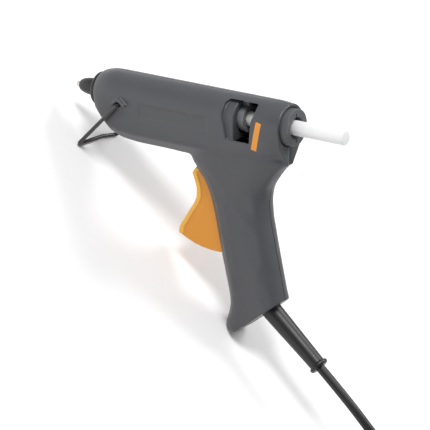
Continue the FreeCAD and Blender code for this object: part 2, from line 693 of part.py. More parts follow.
def heater():
    """The heater stack in its pocket: film sleeve, two electrodes, heating tiles and a wedge."""
    front = BLOCK_FRONT_X + 3.5
    back = front + TILE_COUNT * (TILE_LENGTH + 0.5)
    half = HEATER_POCKET_HALF - 0.1
    top = -HEATER_POCKET_ROOF - FIT
    stack = 2 * FILM_HEIGHT + 2 * ELECTRODE_HEIGHT + TILE_HEIGHT
    film = box(front - 0.3, back + 1.5, -half, half, top - stack, top)
    film = film.cut(box(front - 5, back + 5, -half + FILM_HEIGHT, half - FILM_HEIGHT,
                        top - stack + FILM_HEIGHT, top - FILM_HEIGHT))
    high = top - FILM_HEIGHT
    low = high - ELECTRODE_HEIGHT - TILE_HEIGHT
    inside = half - FILM_HEIGHT - 0.1
    plates = []
    for z, side in ((high, 1), (low, -1)):
        plate = box(front, back, -inside, inside, z - ELECTRODE_HEIGHT, z)
        y0, y1 = sorted((side * 1.6, side * 4.8))
        tab = box(back - 1, BLOCK_REAR_X + 7.0, y0, y1, z - ELECTRODE_HEIGHT, z)
        plates.append(plate.fuse(tab))
    tiles = []
    for index in range(TILE_COUNT):
        x0 = front + 0.3 + index * (TILE_LENGTH + 0.5)
        tiles.append(box(x0, x0 + TILE_LENGTH, -inside + 0.4, inside - 0.4, low, low + TILE_HEIGHT))
    wedge_top = top - stack
    wedge = box(front, back, -half + 1, half - 1, POCKET_FLOOR_Z, wedge_top)
    return {
        "heater_film": film,
        "heater_electrodes": Part.makeCompound(plates),
        "heater_tiles": Part.makeCompound(tiles),
        "heater_wedge": wedge,
    }


def lead_start(side):
    """Where one inner lead leaves the end of the cord."""
    high = -HEATER_POCKET_ROOF - FIT - FILM_HEIGHT - ELECTRODE_HEIGHT / 2.0
    z = high if side > 0 else high - ELECTRODE_HEIGHT - TILE_HEIGHT
    return V(BLOCK_REAR_X + 9.0, side * 3.2, z)


def lead_terminals():
    """The crimped receptacles that push onto the electrode tabs."""
    pieces = []
    for side in SIDES:
        at = lead_start(side)
        shoe = box(at.x - 7, at.x - 1, at.y - 2.2, at.y + 2.2, at.z - 0.8, at.z + 0.8)
        shoe = shoe.cut(box(at.x - 8, at.x - 1.9, at.y - 1.7, at.y + 1.7, at.z - 0.25, at.z + 0.25))
        barrel = cylinder(V(at.x - 1.4, at.y, at.z), AXIS_X, LEAD_R + 0.5, 3.4)
        barrel = barrel.cut(cylinder(V(at.x, at.y, at.z), AXIS_X, LEAD_R + 0.02, 4))
        pieces.append(fused(shoe, barrel))
    return Part.makeCompound(pieces)


def mains_leads():
    """The two cores, from the heater along the right wall and down the grip to the cord."""
    tail_end = RELIEF_ROOT - RELIEF_DIR * (7.5 + CORD_TAIL_LENGTH)
    wall = BARREL_R - WALL - LEAD_R - 1.2
    leads = {}
    for name, side, z, turn_x, x in (
        ("lead_live", 1, -17.0, -43.2, -40.6), ("lead_neutral", -1, -20.5, -47.5, -44.5),
    ):
        start = lead_start(side)
        end = V(tail_end.x, side * 1.7, tail_end.z)
        points = [
            start, V(start.x + 7.5, start.y, z + 0.8), V(INLET_REAR_X - 5, wall, z),
            V(turn_x, wall, z), V(x, 11.6, -45), V(x, 11.6, -100),
            end - RELIEF_DIR * 5.0, end - RELIEF_DIR * FIT,
        ]
        leads[name] = swept(rounded_path(points, 1.5), LEAD_R)
    return leads


def inlet_sleeve():
    """The soft inlet that grips the stick and is stretched over the chamber's spigot."""
    bore = STICK_R + 0.15
    spigot = SPIGOT_R + FIT
    back = INLET_FRONT_X + SPIGOT_LENGTH + 0.3
    return turned([
        (INLET_FRONT_X, spigot), (INLET_FRONT_X, INLET_R), (INLET_REAR_X - 1, INLET_R),
        (INLET_REAR_X, INLET_R - 1), (INLET_REAR_X, bore + 0.8), (INLET_REAR_X - 2, bore),
        (back, bore), (back, spigot),
    ])


def sleeve_clamp():
    """The wire clip that holds the inlet sleeve on the melt chamber."""
    x0 = INLET_FRONT_X + 1.4
    return x_tube(x0, x0 + 3.0, INLET_R + CLAMP_BAND, INLET_R + 0.02)


def return_spring():
    """The coil spring between its seat rib and the flange of the feed carriage."""
    length = CARRIAGE_FRONT_X - SPRING_SEAT_X - SPRING_WIRE - 0.2
    pitch = length / SPRING_TURNS
    helix = Part.makeLongHelix(pitch, length, SPRING_R)
    ring = Part.Wire(Part.makeCircle(SPRING_WIRE / 2.0, V(SPRING_R, 0, 0), AXIS_Y))
    coil = Part.Wire(helix).makePipeShell([ring], True, True)
    coil.rotate(V(0, 0, 0), AXIS_Y, 90)
    coil.translate(V(SPRING_SEAT_X + SPRING_WIRE / 2.0 + 0.1, 0, 0))
    return coil


def feed_carriage():
    """The sleeve round the stick that the trigger drives: flange, tube, collar, fin and jaw lugs."""
    front, back = CARRIAGE_FRONT_X, CARRIAGE_REAR_X
    jaw = jaw_pivot()
    body = fused(
        x_cylinder(front, back, CARRIAGE_R),
        x_cylinder(front, front + 2.5, CARRIAGE_FLANGE_R),
        x_cylinder(back - 4, back, CARRIAGE_COLLAR_R),
        box(front + 3, back, -FIN_HALF, FIN_HALF, CARRIAGE_R - 1, BARREL_R - WALL - 1.2),
        box(jaw.x - 2.5, jaw.x + 3.5, -JAW_HALF - 2.9, JAW_HALF + 2.9, jaw.z - 2.4, 0),
        y_cylinder(DRIVE_PIN_X, DRIVE_PIN_Z, DRIVE_PIN_R, -HUB_HALF + 0.3, HUB_HALF - 0.3),
    )
    body = body.cut(x_cylinder(front - 1, back + 1, CARRIAGE_BORE_R))
    slot = box(
        jaw.x - JAW_LENGTH - 3, jaw.x + 8.0, -JAW_HALF - RUNNING_GAP, JAW_HALF + RUNNING_GAP, -40, 0,
    )
    return body.cut(slot).cut(y_cylinder(jaw.x, jaw.z, JAW_PIN_R + FIT, -20, 20))


def jaw_pivot():
    """Where the gripper jaw turns on the carriage."""
    return V(DRIVE_PIN_X + 5.5, 0, -STICK_R - 5.2)


def gripper_jaw():
    """The toothed pawl that bites the stick from below."""
    at = jaw_pivot()
    top = -STICK_R - JAW_GAP
    tip = at.x - JAW_LENGTH
    plate = side_prism((
        (at.x + 2.2, at.z - 1.0), (at.x + 1.2, at.z + 2.2), (tip + 3.0, top - 0.9), (tip + 2.4, top),
        (tip + 1.8, top - 0.7), (tip + 1.0, top), (tip + 0.4, top - 0.7), (tip - 0.6, top),
        (tip - 1.2, top - 2.2), (at.x - 1.0, at.z - 2.2),
    ), -JAW_HALF, JAW_HALF)
    return plate.cut(y_cylinder(at.x, at.z, JAW_PIN_R + FIT, -20, 20))


def jaw_pin():
    """The pin that the gripper jaw turns on."""
    at = jaw_pivot()
    return y_cylinder(at.x, at.z, JAW_PIN_R, -JAW_HALF - 2.9, JAW_HALF + 2.9)


def trigger_outline(inset):
    """The side view of the trigger's blade: a hooked top, a finger hollow and a flared foot."""
    front = [
        (-79.5, -39.8), (-83.4, -42.9), (-86.3, -47.2), (-84.5, -51.6), (-82.5, -58.0),
        (-82.6, -65.2), (-84.9, -70.6), (-93.1, -83.0), (-98.4, -91.6),
    ]
    points = [(x + inset, z) for x, z in front]
    reach = TRIGGER_REACH - inset
    count = 6
    first, last = math.radians(-118.6), math.radians(-82.0)
    for step in range(count + 1):
        angle = first + (last - first) * step / count
        points.append((PIVOT_X + reach * math.cos(angle) + inset * (step == 0),
                       PIVOT_Z + reach * math.sin(angle)))
    return points


def trigger():
    """The trigger: a hollow blade, its hub and the two arms that reach up round the carriage."""
    back = [(-58.5, -80.0), (-60.5, -50.0), (-61.5, -38.0)]
    blade = side_prism(trigger_outline(0) + back, -TRIGGER_HALF, TRIGGER_HALF)
    rim_line = trigger_outline(0)
    rim = side_prism(rim_line[:10] + [(x + 4.0, z) for x, z in reversed(trigger_outline(0)[:10])],
                     -TRIGGER_HALF - RIM_PROUD, TRIGGER_HALF + RIM_PROUD)
    rim = rim.cut(box(-200, 0, -30, 30, -43.0, 0))
    inside = TRIGGER_HALF - TRIGGER_WALL
    hollow = side_prism(trigger_outline(TRIGGER_WALL)[1:] + [(-48.0, -80.0), (-48.0, -45.0)],
                        -inside, inside)
    blade = fused(blade, rim).cut(hollow)
    hub = y_cylinder(PIVOT_X, PIVOT_Z, HUB_R, -HUB_HALF, HUB_HALF)
    reach = DRIVE_ARM / math.cos(LEAN)
    reach = (reach + DRIVE_ARM) / 2.0
    hole_r = DRIVE_PIN_R + DRIVE_SLOT_GAP
    end_r = hole_r + ARM_END_WALL
    drift = DRIVE_ARM / math.cos(LEAN) - DRIVE_ARM
    solids = [blade, hub]
    for side in SIDES:
        y0, y1 = sorted((side * ARM_INNER, side * HUB_HALF))
        arm = fused(
            side_prism(((-HUB_R + 0.6, 0), (-end_r, reach), (end_r, reach), (HUB_R - 0.6, 0)), y0, y1),
            y_cylinder(0, reach, end_r, y0, y1),
        )
        for z in (reach - drift / 2.0, reach + drift / 2.0):
            arm = arm.cut(y_cylinder(0, z, hole_r, y0 - 1, y1 + 1))
        arm = arm.cut(box(-hole_r, hole_r, y0 - 1, y1 + 1, reach - drift / 2.0, reach + drift / 2.0))
        arm.rotate(V(0, 0, 0), AXIS_Y, math.degrees(LEAN))
        arm.translate(V(PIVOT_X, 0, PIVOT_Z))
        solids.append(arm)
    body = fused(*solids)
    return body.cut(y_cylinder(PIVOT_X, PIVOT_Z, TRIGGER_PIN_R + FIT, -30, 30))


def trigger_pin():
    """The pin that the trigger swings on."""
    return y_cylinder(PIVOT_X, PIVOT_Z, TRIGGER_PIN_R, -PIN_HALF, PIN_HALF)


def glue_stick():
    """The round glue stick, from the melt chamber out of the rear port."""
    return x_cylinder(STICK_FRONT_X, STICK_TAIL, STICK_R)


def stick_guide():
    """The ring at the rear that the stick is fed through, with two slots in its face."""
    front = GUIDE_FLANGE_X - GUIDE_FLANGE_LENGTH
    ring = turned([
        (front, GUIDE_HOLE_R), (front, GUIDE_FLANGE_R), (GUIDE_FLANGE_X, GUIDE_FLANGE_R),
        (GUIDE_FLANGE_X, GUIDE_R), (-0.5, GUIDE_R), (0, GUIDE_R - 0.5), (0, GUIDE_HOLE_R),
    ])
    half = GUIDE_SLOT_WIDTH / 2.0
    for side in SIDES:
        z0, z1 = sorted((side * (GUIDE_HOLE_R - 1), side * (GUIDE_HOLE_R + 2.6)))
        ring = ring.cut(box(-1.2, 1, -half, half, z0, z1))
    return ring


def bail_stand():
    """The wire stand: stubs in the casing, two legs and a crossbar with a shallow kink."""
    ends = {}
    for side in SIDES:
        ends[side] = bail_corner(side) + V(0, side * BAIL_CORNER_HALF, 0)
    stub = BARREL_R - BAIL_STUB_INSIDE
    kink = ends[-1] + (ends[1] - ends[-1]) * 0.63
    chord = (ends[1] - ends[-1]).normalize()
    leg = (ends[-1] - V(BAIL_X, -BAIL_CORNER_HALF, BAIL_PIVOT_Z)).normalize()
    kink = kink + chord.cross(leg) * 1.4
    points = [
        V(BAIL_X, -stub, BAIL_PIVOT_Z), V(BAIL_X, -BAIL_LEG_Y, BAIL_PIVOT_Z), ends[-1], kink, ends[1],
        V(BAIL_X, BAIL_LEG_Y, BAIL_PIVOT_Z), V(BAIL_X, stub, BAIL_PIVOT_Z),
    ]
    return swept(rounded_path(points, 2.4), BAIL_WIRE_R)


def strain_relief():
    """The moulded taper round the cord, held by a flange inside the foot of the grip."""
    grip_end = RELIEF_LENGTH - RELIEF_COLLAR_LENGTH
    profile = [
        (-7.5, 0), (-7.5, RELIEF_ROOT_R + 2.1), (-5.3, RELIEF_ROOT_R + 2.1), (-5.3, RELIEF_ROOT_R),
        (3.0, RELIEF_ROOT_R), (grip_end, RELIEF_END_R), (grip_end + 0.4, RELIEF_COLLAR_R - 0.5),
        (grip_end + 1.0, RELIEF_COLLAR_R), (RELIEF_LENGTH - 1.0, RELIEF_COLLAR_R),
        (RELIEF_LENGTH, RELIEF_COLLAR_R - 1.2), (RELIEF_LENGTH, CORD_R + FIT),
        (RELIEF_LENGTH - RELIEF_SOCKET, CORD_R + FIT), (RELIEF_LENGTH - RELIEF_SOCKET, 0),
    ]
    relief = turned(profile)
    relief.rotate(V(0, 0, 0), AXIS_Y, -RELIEF_ANGLE)
    relief.translate(RELIEF_ROOT)
    return relief


def cord_tail():
    """The stretch of cord inside the foot of the grip, up to where its two leads part."""
    start = RELIEF_ROOT - RELIEF_DIR * (7.5 + CORD_TAIL_LENGTH)
    return cylinder(start, RELIEF_DIR, CORD_R, CORD_TAIL_LENGTH)


def cord_clamp():
    """The bar that two screws pull down on the cord inside the foot of the grip."""
    half = CORD_R + 6.6
    bar = box(-3.0, 3.0, CORD_R + FIT, CORD_R + 2.4, -half, half)
    bar.rotate(V(0, 0, 0), AXIS_Y, -RELIEF_ANGLE)
    bar.translate(clamp_centre())
    for end in clamp_ends():
        bar = bar.cut(y_cylinder(end.x, end.z, SCREW_R + FIT, -30, 30))
    return bar


def clamp_screws():
    """The two screws that hold the cord clamp's bar down."""
    screws = []
    seat = CORD_R + 2.4
    for end in clamp_ends():
        head = y_cylinder(end.x, end.z, SCREW_HEAD_R, seat, seat + SCREW_HEAD_HEIGHT)
        drive = y_cylinder(end.x, end.z, 1.1, seat + 0.8, seat + 5)
        screws.append(fused(y_cylinder(end.x, end.z, SCREW_R, -3.5, seat), head).cut(drive))
    return Part.makeCompound(screws)


def lying_tube(points, thick=CORD_R):
    """A free cord's tube: straight runs and the widest tangent arcs that its runs allow."""
    edges = []
    start = points[0]
    radii = []
    for here, corner, there in zip(points, points[1:], points[2:]):
        back = here - corner
        ahead = there - corner
        half_turn = (math.pi - back.getAngle(ahead)) / 2.0
        cut = 0.45 * min(back.Length, ahead.Length)
        radius = cut / math.tan(half_turn)
        radii.append(round(radius, 1))
        back.normalize()
        ahead.normalize()
        first = corner + back * cut
        last = corner + ahead * cut
        bisector = (back + ahead).normalize()
        middle = corner + bisector * (radius / math.cos(half_turn) - radius)
        edges.append(Part.LineSegment(start, first).toShape())
        edges.append(Part.Arc(first, middle, last).toShape())
        start = last
    edges.append(Part.LineSegment(start, points[-1]).toShape())
    path = Part.Wire(edges)
    tube = swept(path, thick)
    section = math.pi * thick ** 2
    print("cord radii", radii, "length", round(path.Length, 1),
          "volume ratio", round(tube.Volume / (section * path.Length), 4))
    return tube


def cord_hank():
    """The outer shape of the tied hank that the rest of the lead is wound into: long turns, side by side."""
    height = HANK_LAYERS * 2 * CORD_R
    ring = None
    for radius in (max(HANK_COLUMNS) + CORD_R, min(HANK_COLUMNS) - CORD_R):
        near = Part.makeCylinder(radius, height, HANK_NEAR)
        far = Part.makeCylinder(radius, height, HANK_NEAR + V(HANK_STRAIGHT, 0, 0))
        middle = Part.makeBox(HANK_STRAIGHT, 2 * radius, height, HANK_NEAR - V(0, radius, 0))
        outline = fused(near, middle, far)
        ring = ring.cut(outline) if ring else outline
    return ring


def plug():
    """The flat plug: a body with rounded sides, a tapering neck and two pins."""
    end = PLUG_LEAD_ROUTE[-1]
    body_back = end.x - PLUG_NECK_LENGTH
    half = PLUG_HEIGHT / 2.0
    side = PLUG_WIDTH / 2.0 - half
    body = Part.makeBox(
        PLUG_LENGTH, 2 * side, PLUG_HEIGHT, V(body_back - PLUG_LENGTH, end.y - side, end.z - half),
    )
    for y in (end.y - side, end.y + side):
        body = body.fuse(cylinder(V(body_back - PLUG_LENGTH, y, end.z), AXIS_X, half, PLUG_LENGTH))
    neck = Part.makeCone(half - 0.3, CORD_R + 0.9, PLUG_NECK_LENGTH + 1, V(body_back - 1, end.y, end.z), AXIS_X)
    body = body.fuse(neck).cut(lying_tube(list(PLUG_LEAD_ROUTE), CORD_R + FIT))
    pins = []
    face = body_back - PLUG_LENGTH
    for y in (end.y - PLUG_PIN_PITCH / 2.0, end.y + PLUG_PIN_PITCH / 2.0):
        body = body.cut(cylinder(V(face - 1, y, end.z), AXIS_X, PLUG_PIN_R + 0.01, 7.0))
        pins.append(cylinder(V(face - PLUG_PIN_LENGTH, y, end.z), AXIS_X, PLUG_PIN_R, PLUG_PIN_LENGTH + 6.0))
    return body, Part.makeCompound(pins)


def lead_pieces(relief_end, relief_dir):
    """Everything that lies on the bench beyond the strain relief."""
    route = [relief_end, relief_end + relief_dir * CORD_FIRST_RUN] + list(CORD_ROUTE)
    body, pins = plug()
    return {
        "power_cord": lying_tube(route),
        "cord_hank": cord_hank(),
        "plug_lead": lying_tube(list(PLUG_LEAD_ROUTE)),
        "plug_body": body,
        "plug_pins": pins,
    }


def main():
    """Builds every piece, stands the gun on the bench and writes one file for each node."""
    os.makedirs("parts", exist_ok=True)
    grip = grip_solid(0)
    tilt = bench_tilt(grip)
    print("bench tilt", round(math.degrees(tilt), 4))
    outer = fused(body_solid(0), grip)
    inner = fused(body_solid(WALL), grip_solid(WALL))
    up = up_from_bench(tilt)
    level = bail_corner(-1).dot(up) - BAIL_WIRE_R
    along = V(up.z, 0, -up.x)
    a = up * level - along * 200
    b = up * level + along * 200
    foot_cut = below_line(a, b, 0)
    pieces = casing(outer, inner, foot_cut)
    pieces["housing_screws"] = casing_screws()
    pieces["front_cap"] = front_cap()
    pieces["nozzle"] = nozzle()
    pieces["nozzle_sleeve"] = nozzle_sleeve()
    pieces["melt_chamber"] = melt_chamber()
    pieces.update(heater())
    pieces["lead_terminals"] = lead_terminals()
    pieces.update(mains_leads())
    pieces["inlet_sleeve"] = inlet_sleeve()
    pieces["sleeve_clamp"] = sleeve_clamp()
    pieces["return_spring"] = return_spring()
    pieces["feed_carriage"] = feed_carriage()
    pieces["gripper_jaw"] = gripper_jaw()
    pieces["jaw_pin"] = jaw_pin()
    pieces["trigger"] = trigger()
    pieces["trigger_pin"] = trigger_pin()
    pieces["glue_stick"] = glue_stick()
    pieces["stick_guide"] = stick_guide()
    pieces["bail_stand"] = bail_stand()
    pieces["strain_relief"] = strain_relief()
    pieces["cord_tail"] = cord_tail()
    pieces["cord_clamp"] = cord_clamp()
    pieces["clamp_screws"] = clamp_screws()
    placed = {}
    for name, shape in pieces.items():
        standing = shape.copy()
        standing.rotate(V(0, 0, 0), AXIS_Y, -math.degrees(tilt))
        placed[name] = standing
    object_pieces = [shape for name, shape in placed.items() if name != "strain_relief"]
    bounds = Part.makeCompound(object_pieces).optimalBoundingBox(False, False)
    shift = V(-(bounds.XMin + bounds.XMax) / 2.0, 0, -level)
    for shape in placed.values():
        shape.translate(shift)

    def bench_place(point):
        x = point.x * math.cos(tilt) - point.z * math.sin(tilt)
        z = point.x * math.sin(tilt) + point.z * math.cos(tilt)
        return V(x, point.y, z) + shift

    socket = RELIEF_ROOT + RELIEF_DIR * (RELIEF_LENGTH - RELIEF_SOCKET)
    relief_end = bench_place(socket)
    relief_dir = (bench_place(socket + RELIEF_DIR) - relief_end).normalize()
    placed.update(lead_pieces(relief_end, relief_dir))
    print("shift", shift, "height", bounds.ZMax - level, "x span", bounds.XLength)
    stick_dir = bench_place(V(-1, 0, 0)) - bench_place(V(0, 0, 0))
    for name, point in (
        ("trigger", V(PIVOT_X, 0, PIVOT_Z)), ("jaw", jaw_pivot()), ("bail", V(BAIL_X, 0, BAIL_PIVOT_Z)),
        ("carriage", V(DRIVE_PIN_X, 0, DRIVE_PIN_Z)), ("boss", V(0, 0, 0)), ("tip", V(NOZZLE_TIP_X, 0, 0)),
        ("relief root", RELIEF_ROOT), ("relief socket", socket),
    ):
        print("place", name, tuple(round(c, 5) for c in bench_place(point)))
    print("stick direction", tuple(round(c, 6) for c in stick_dir), "travel", round(CARRIAGE_TRAVEL, 4))
    print("bail fold", bail_fold())
    for name, shape in placed.items():
        print(name, shape.isValid(), len(shape.Solids), round(shape.Volume, 1))
        shape.exportStep("parts/" + name + ".step")


main()
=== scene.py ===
"""Looks of a glue gun that stands nose down on its wire stand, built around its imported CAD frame.

The gun's own frame has X along the glue stick, from the nozzle back to the rear port, Z up through the barrel
and Y across. Sizes are in metres unless a name says millimetres.
"""

import json
import logging
import math
from dataclasses import dataclass, field
from enum import Enum

import bmesh
import bpy
import numpy as np
from mathutils import Matrix, Vector

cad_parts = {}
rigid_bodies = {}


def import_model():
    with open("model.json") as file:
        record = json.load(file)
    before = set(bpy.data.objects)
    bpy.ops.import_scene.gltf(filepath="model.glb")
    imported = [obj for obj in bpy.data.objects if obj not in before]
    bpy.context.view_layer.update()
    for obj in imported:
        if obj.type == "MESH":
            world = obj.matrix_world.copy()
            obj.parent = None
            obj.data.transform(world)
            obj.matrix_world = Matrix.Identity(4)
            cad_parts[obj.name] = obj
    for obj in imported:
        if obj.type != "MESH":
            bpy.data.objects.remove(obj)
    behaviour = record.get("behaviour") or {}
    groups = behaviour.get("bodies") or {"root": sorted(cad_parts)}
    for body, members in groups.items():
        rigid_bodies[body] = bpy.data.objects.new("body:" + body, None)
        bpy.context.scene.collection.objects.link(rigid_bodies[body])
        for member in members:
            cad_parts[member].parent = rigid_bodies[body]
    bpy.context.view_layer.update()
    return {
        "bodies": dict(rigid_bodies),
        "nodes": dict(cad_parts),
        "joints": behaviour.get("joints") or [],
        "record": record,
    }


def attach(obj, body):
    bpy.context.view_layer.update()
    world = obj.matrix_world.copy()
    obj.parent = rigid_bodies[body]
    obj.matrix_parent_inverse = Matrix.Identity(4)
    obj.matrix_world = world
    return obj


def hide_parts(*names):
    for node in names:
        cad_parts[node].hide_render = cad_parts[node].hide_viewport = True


logging.basicConfig(level=logging.INFO, format="%(message)s")
log = logging.getLogger("glue_gun")

MM = 0.001
Colour = tuple[float, float, float]
Point = tuple[float, float, float]
Profile = list[tuple[float, float]]

PORT_CENTRE = Vector((0.02917328, 0.0, 0.15669484))
STICK_AXIS = Vector((0.719445, 0.0, 0.69455)).normalized()


class Body(Enum):
    """The moving bodies that a piece can ride on."""

    CASING = "casing"
    CARRIAGE = "carriage"
    JAW = "jaw"
    TRIGGER = "trigger_lever"
    STICK = "stick"
    BAIL = "bail"


def gun_to_bench() -> Matrix:
    """Place of the gun's own frame as it stands on the bench.

    Returns:
        The matrix that takes a point of the gun's own frame to the bench frame.
    """
    up = Vector((-STICK_AXIS.z, 0.0, STICK_AXIS.x))
    turn = Matrix((STICK_AXIS, Vector((0.0, 1.0, 0.0)), up)).transposed().to_4x4()
    return Matrix.Translation(PORT_CENTRE) @ turn


GUN = gun_to_bench()


# ---------------------------------------------------------------- shader groups


class ShaderGroup:
    """A node group with named inputs and outputs that several finishes share."""

    def __init__(self, name: str, inputs: dict[str, object], outputs: dict[str, str]) -> None:
        """Makes the empty group.

        Args:
            name: the group's name.
            inputs: input names with a float or a colour as the default.
            outputs: output names with "float" or "colour".
        """
        self.tree = bpy.data.node_groups.new(name, "ShaderNodeTree")
        for label, value in inputs.items():
            kind = "NodeSocketFloat" if isinstance(value, float) else "NodeSocketColor"
            socket = self.tree.interface.new_socket(name=label, in_out="INPUT", socket_type=kind)
            socket.default_value = value
        for label, kind in outputs.items():
            kind_name = "NodeSocketFloat" if kind == "float" else "NodeSocketColor"
            self.tree.interface.new_socket(name=label, in_out="OUTPUT", socket_type=kind_name)
        self.entry = self.tree.nodes.new("NodeGroupInput")
        self.exit = self.tree.nodes.new("NodeGroupOutput")

    def link(self, source: bpy.types.NodeSocket, target: bpy.types.NodeSocket) -> None:
        """Joins two sockets."""
        self.tree.links.new(source, target)

    def place(self) -> bpy.types.NodeSocket:
        """Position on the piece, which is the bench frame because every piece sits at the origin."""
        return self.tree.nodes.new("ShaderNodeTexCoord").outputs["Object"]

    def stretched(self, factors: Point) -> bpy.types.NodeSocket:
        """Position with each axis scaled.

        Args:
            factors: scale of the three axes.

        Returns:
            The scaled position.
        """
        node = self.tree.nodes.new("ShaderNodeMapping")
        node.inputs["Scale"].default_value = factors
        self.link(self.place(), node.inputs["Vector"])
        return node.outputs["Vector"]

    def noise(self, vector: bpy.types.NodeSocket, scale: object, detail: float = 2.0) -> bpy.types.NodeSocket:
        """A noise value.

        Args:
            vector: where to read it.
            scale: a number, or a socket that gives it.
            detail: octaves of detail.

        Returns:
            The value, from 0 to 1.
        """
        node = self.tree.nodes.new("ShaderNodeTexNoise")
        node.inputs["Detail"].default_value = detail
        self.link(vector, node.inputs["Vector"])
        if isinstance(scale, float):
            node.inputs["Scale"].default_value = scale
        else:
            self.link(scale, node.inputs["Scale"])
        return node.outputs["Fac"]

    def sum(self, operation: str, first: object, second: object, third: object = None) -> bpy.types.NodeSocket:
        """One step of arithmetic.

        Args:
            operation: the Math node's operation.
            first: a number or a socket.
            second: a number or a socket.
            third: a number or a socket, for the operations that take three.

        Returns:
            The result.
        """
        node = self.tree.nodes.new("ShaderNodeMath")
        node.operation = operation
        for socket, value in zip(node.inputs, (first, second, third)):
            if value is None:
                continue
            if isinstance(value, (int, float)):
                socket.default_value = float(value)
            else:
                self.link(value, socket)
        return node.outputs[0]

    def shade(self, colour: bpy.types.NodeSocket, factor: bpy.types.NodeSocket) -> bpy.types.NodeSocket:
        """A colour multiplied by a value.

        Args:
            colour: the colour.
            factor: the value.

        Returns:
            The product.
        """
        node = self.tree.nodes.new("ShaderNodeVectorMath")
        node.operation = "SCALE"
        self.link(colour, node.inputs[0])
        self.link(factor, node.inputs["Scale"])
        return node.outputs[0]


def moulded_group() -> ShaderGroup:
    """Spark-eroded grain, faint flow mottling and small scuffs of a moulded surface.

    Returns:
        The group, with outputs Colour, Roughness and Height.
    """
    group = ShaderGroup(
        "moulded_surface",
        {"Colour": (0.5, 0.5, 0.5, 1.0), "Grain": 2600.0, "Mottle": 0.1, "Roughness": 0.5, "Spread": 0.1},
        {"Colour": "colour", "Roughness": "float", "Height": "float"},
    )
    inputs = group.entry.outputs
    fine = group.noise(group.place(), inputs["Grain"], 3.0)
    pits = group.tree.nodes.new("ShaderNodeTexVoronoi")
    group.link(group.place(), pits.inputs["Vector"])
    group.link(group.sum("MULTIPLY", inputs["Grain"], 0.6), pits.inputs["Scale"])
    broad = group.noise(group.place(), 45.0, 4.0)
    scuff = group.noise(group.stretched((1.0, 1.0, 2.6)), 160.0, 5.0)
    worn = group.sum("MULTIPLY", group.sum("SUBTRACT", scuff, 0.5), 0.8)
    lift = group.sum("ADD", group.sum("SUBTRACT", broad, 0.5), worn)
    speck = group.sum("MULTIPLY", group.sum("SUBTRACT", fine, 0.5), 0.6)
    tone = group.sum("MULTIPLY_ADD", group.sum("ADD", lift, speck), inputs["Mottle"], 1.0)
    group.link(group.shade(inputs["Colour"], tone), group.exit.inputs["Colour"])
    rough = group.sum("MULTIPLY_ADD", lift, inputs["Spread"], inputs["Roughness"])
    group.link(rough, group.exit.inputs["Roughness"])
    height = group.sum("ADD", fine, group.sum("MULTIPLY", pits.outputs["Distance"], 0.7))
    group.link(height, group.exit.inputs["Height"])
    return group


def drawn_group() -> ShaderGroup:
    """Fine lines, tarnish and handling marks of a drawn, rolled or turned metal.

    Returns:
        The group, with outputs Colour, Roughness and Height.
    """
    group = ShaderGroup(
        "drawn_metal",
        {"Colour": (0.5, 0.5, 0.5, 1.0), "Lines": 1800.0, "Tarnish": 0.3, "Roughness": 0.3, "Spread": 0.2},
        {"Colour": "colour", "Roughness": "float", "Height": "float"},
    )
    inputs = group.entry.outputs
    lines = group.noise(group.stretched((1.0, 0.06, 1.0)), inputs["Lines"], 2.0)
    patches = group.noise(group.place(), 90.0, 5.0)
    lift = group.sum("SUBTRACT", patches, 0.5)
    streak = group.sum("MULTIPLY", group.sum("SUBTRACT", lines, 0.5), 0.5)
    tone = group.sum("MULTIPLY_ADD", group.sum("ADD", lift, streak), inputs["Tarnish"], 1.0)
    group.link(group.shade(inputs["Colour"], tone), group.exit.inputs["Colour"])
    rough = group.sum("MULTIPLY_ADD", group.sum("ADD", lift, streak), inputs["Spread"], inputs["Roughness"])
    group.link(rough, group.exit.inputs["Roughness"])
    group.link(lines, group.exit.inputs["Height"])
    return group


def band_group() -> ShaderGroup:
    """A soft-edged band about a level of one coordinate, such as a parting line.

    Returns:
        The group, with the output Mask.
    """
    group = ShaderGroup("level_band", {"Value": 0.0, "Level": 0.0, "Half": 0.001, "Edge": 0.0005}, {"Mask": "float"})
    inputs = group.entry.outputs
    off = group.sum("ABSOLUTE", group.sum("SUBTRACT", inputs["Value"], inputs["Level"]), 0.0)
    past = group.sum("DIVIDE", group.sum("SUBTRACT", off, inputs["Half"]), inputs["Edge"])
    node = group.tree.nodes.new("ShaderNodeMath")
    node.operation = "SUBTRACT"
    node.use_clamp = True
    node.inputs[0].default_value = 1.0
    group.link(past, node.inputs[1])
    group.link(node.outputs[0], group.exit.inputs["Mask"])
    return group


class Groups:
    """The shader groups, each built once."""

    def __init__(self) -> None:
        """Builds all the groups."""
        self.moulded = moulded_group()
        self.drawn = drawn_group()
        self.band = band_group()


# ---------------------------------------------------------------- finishes


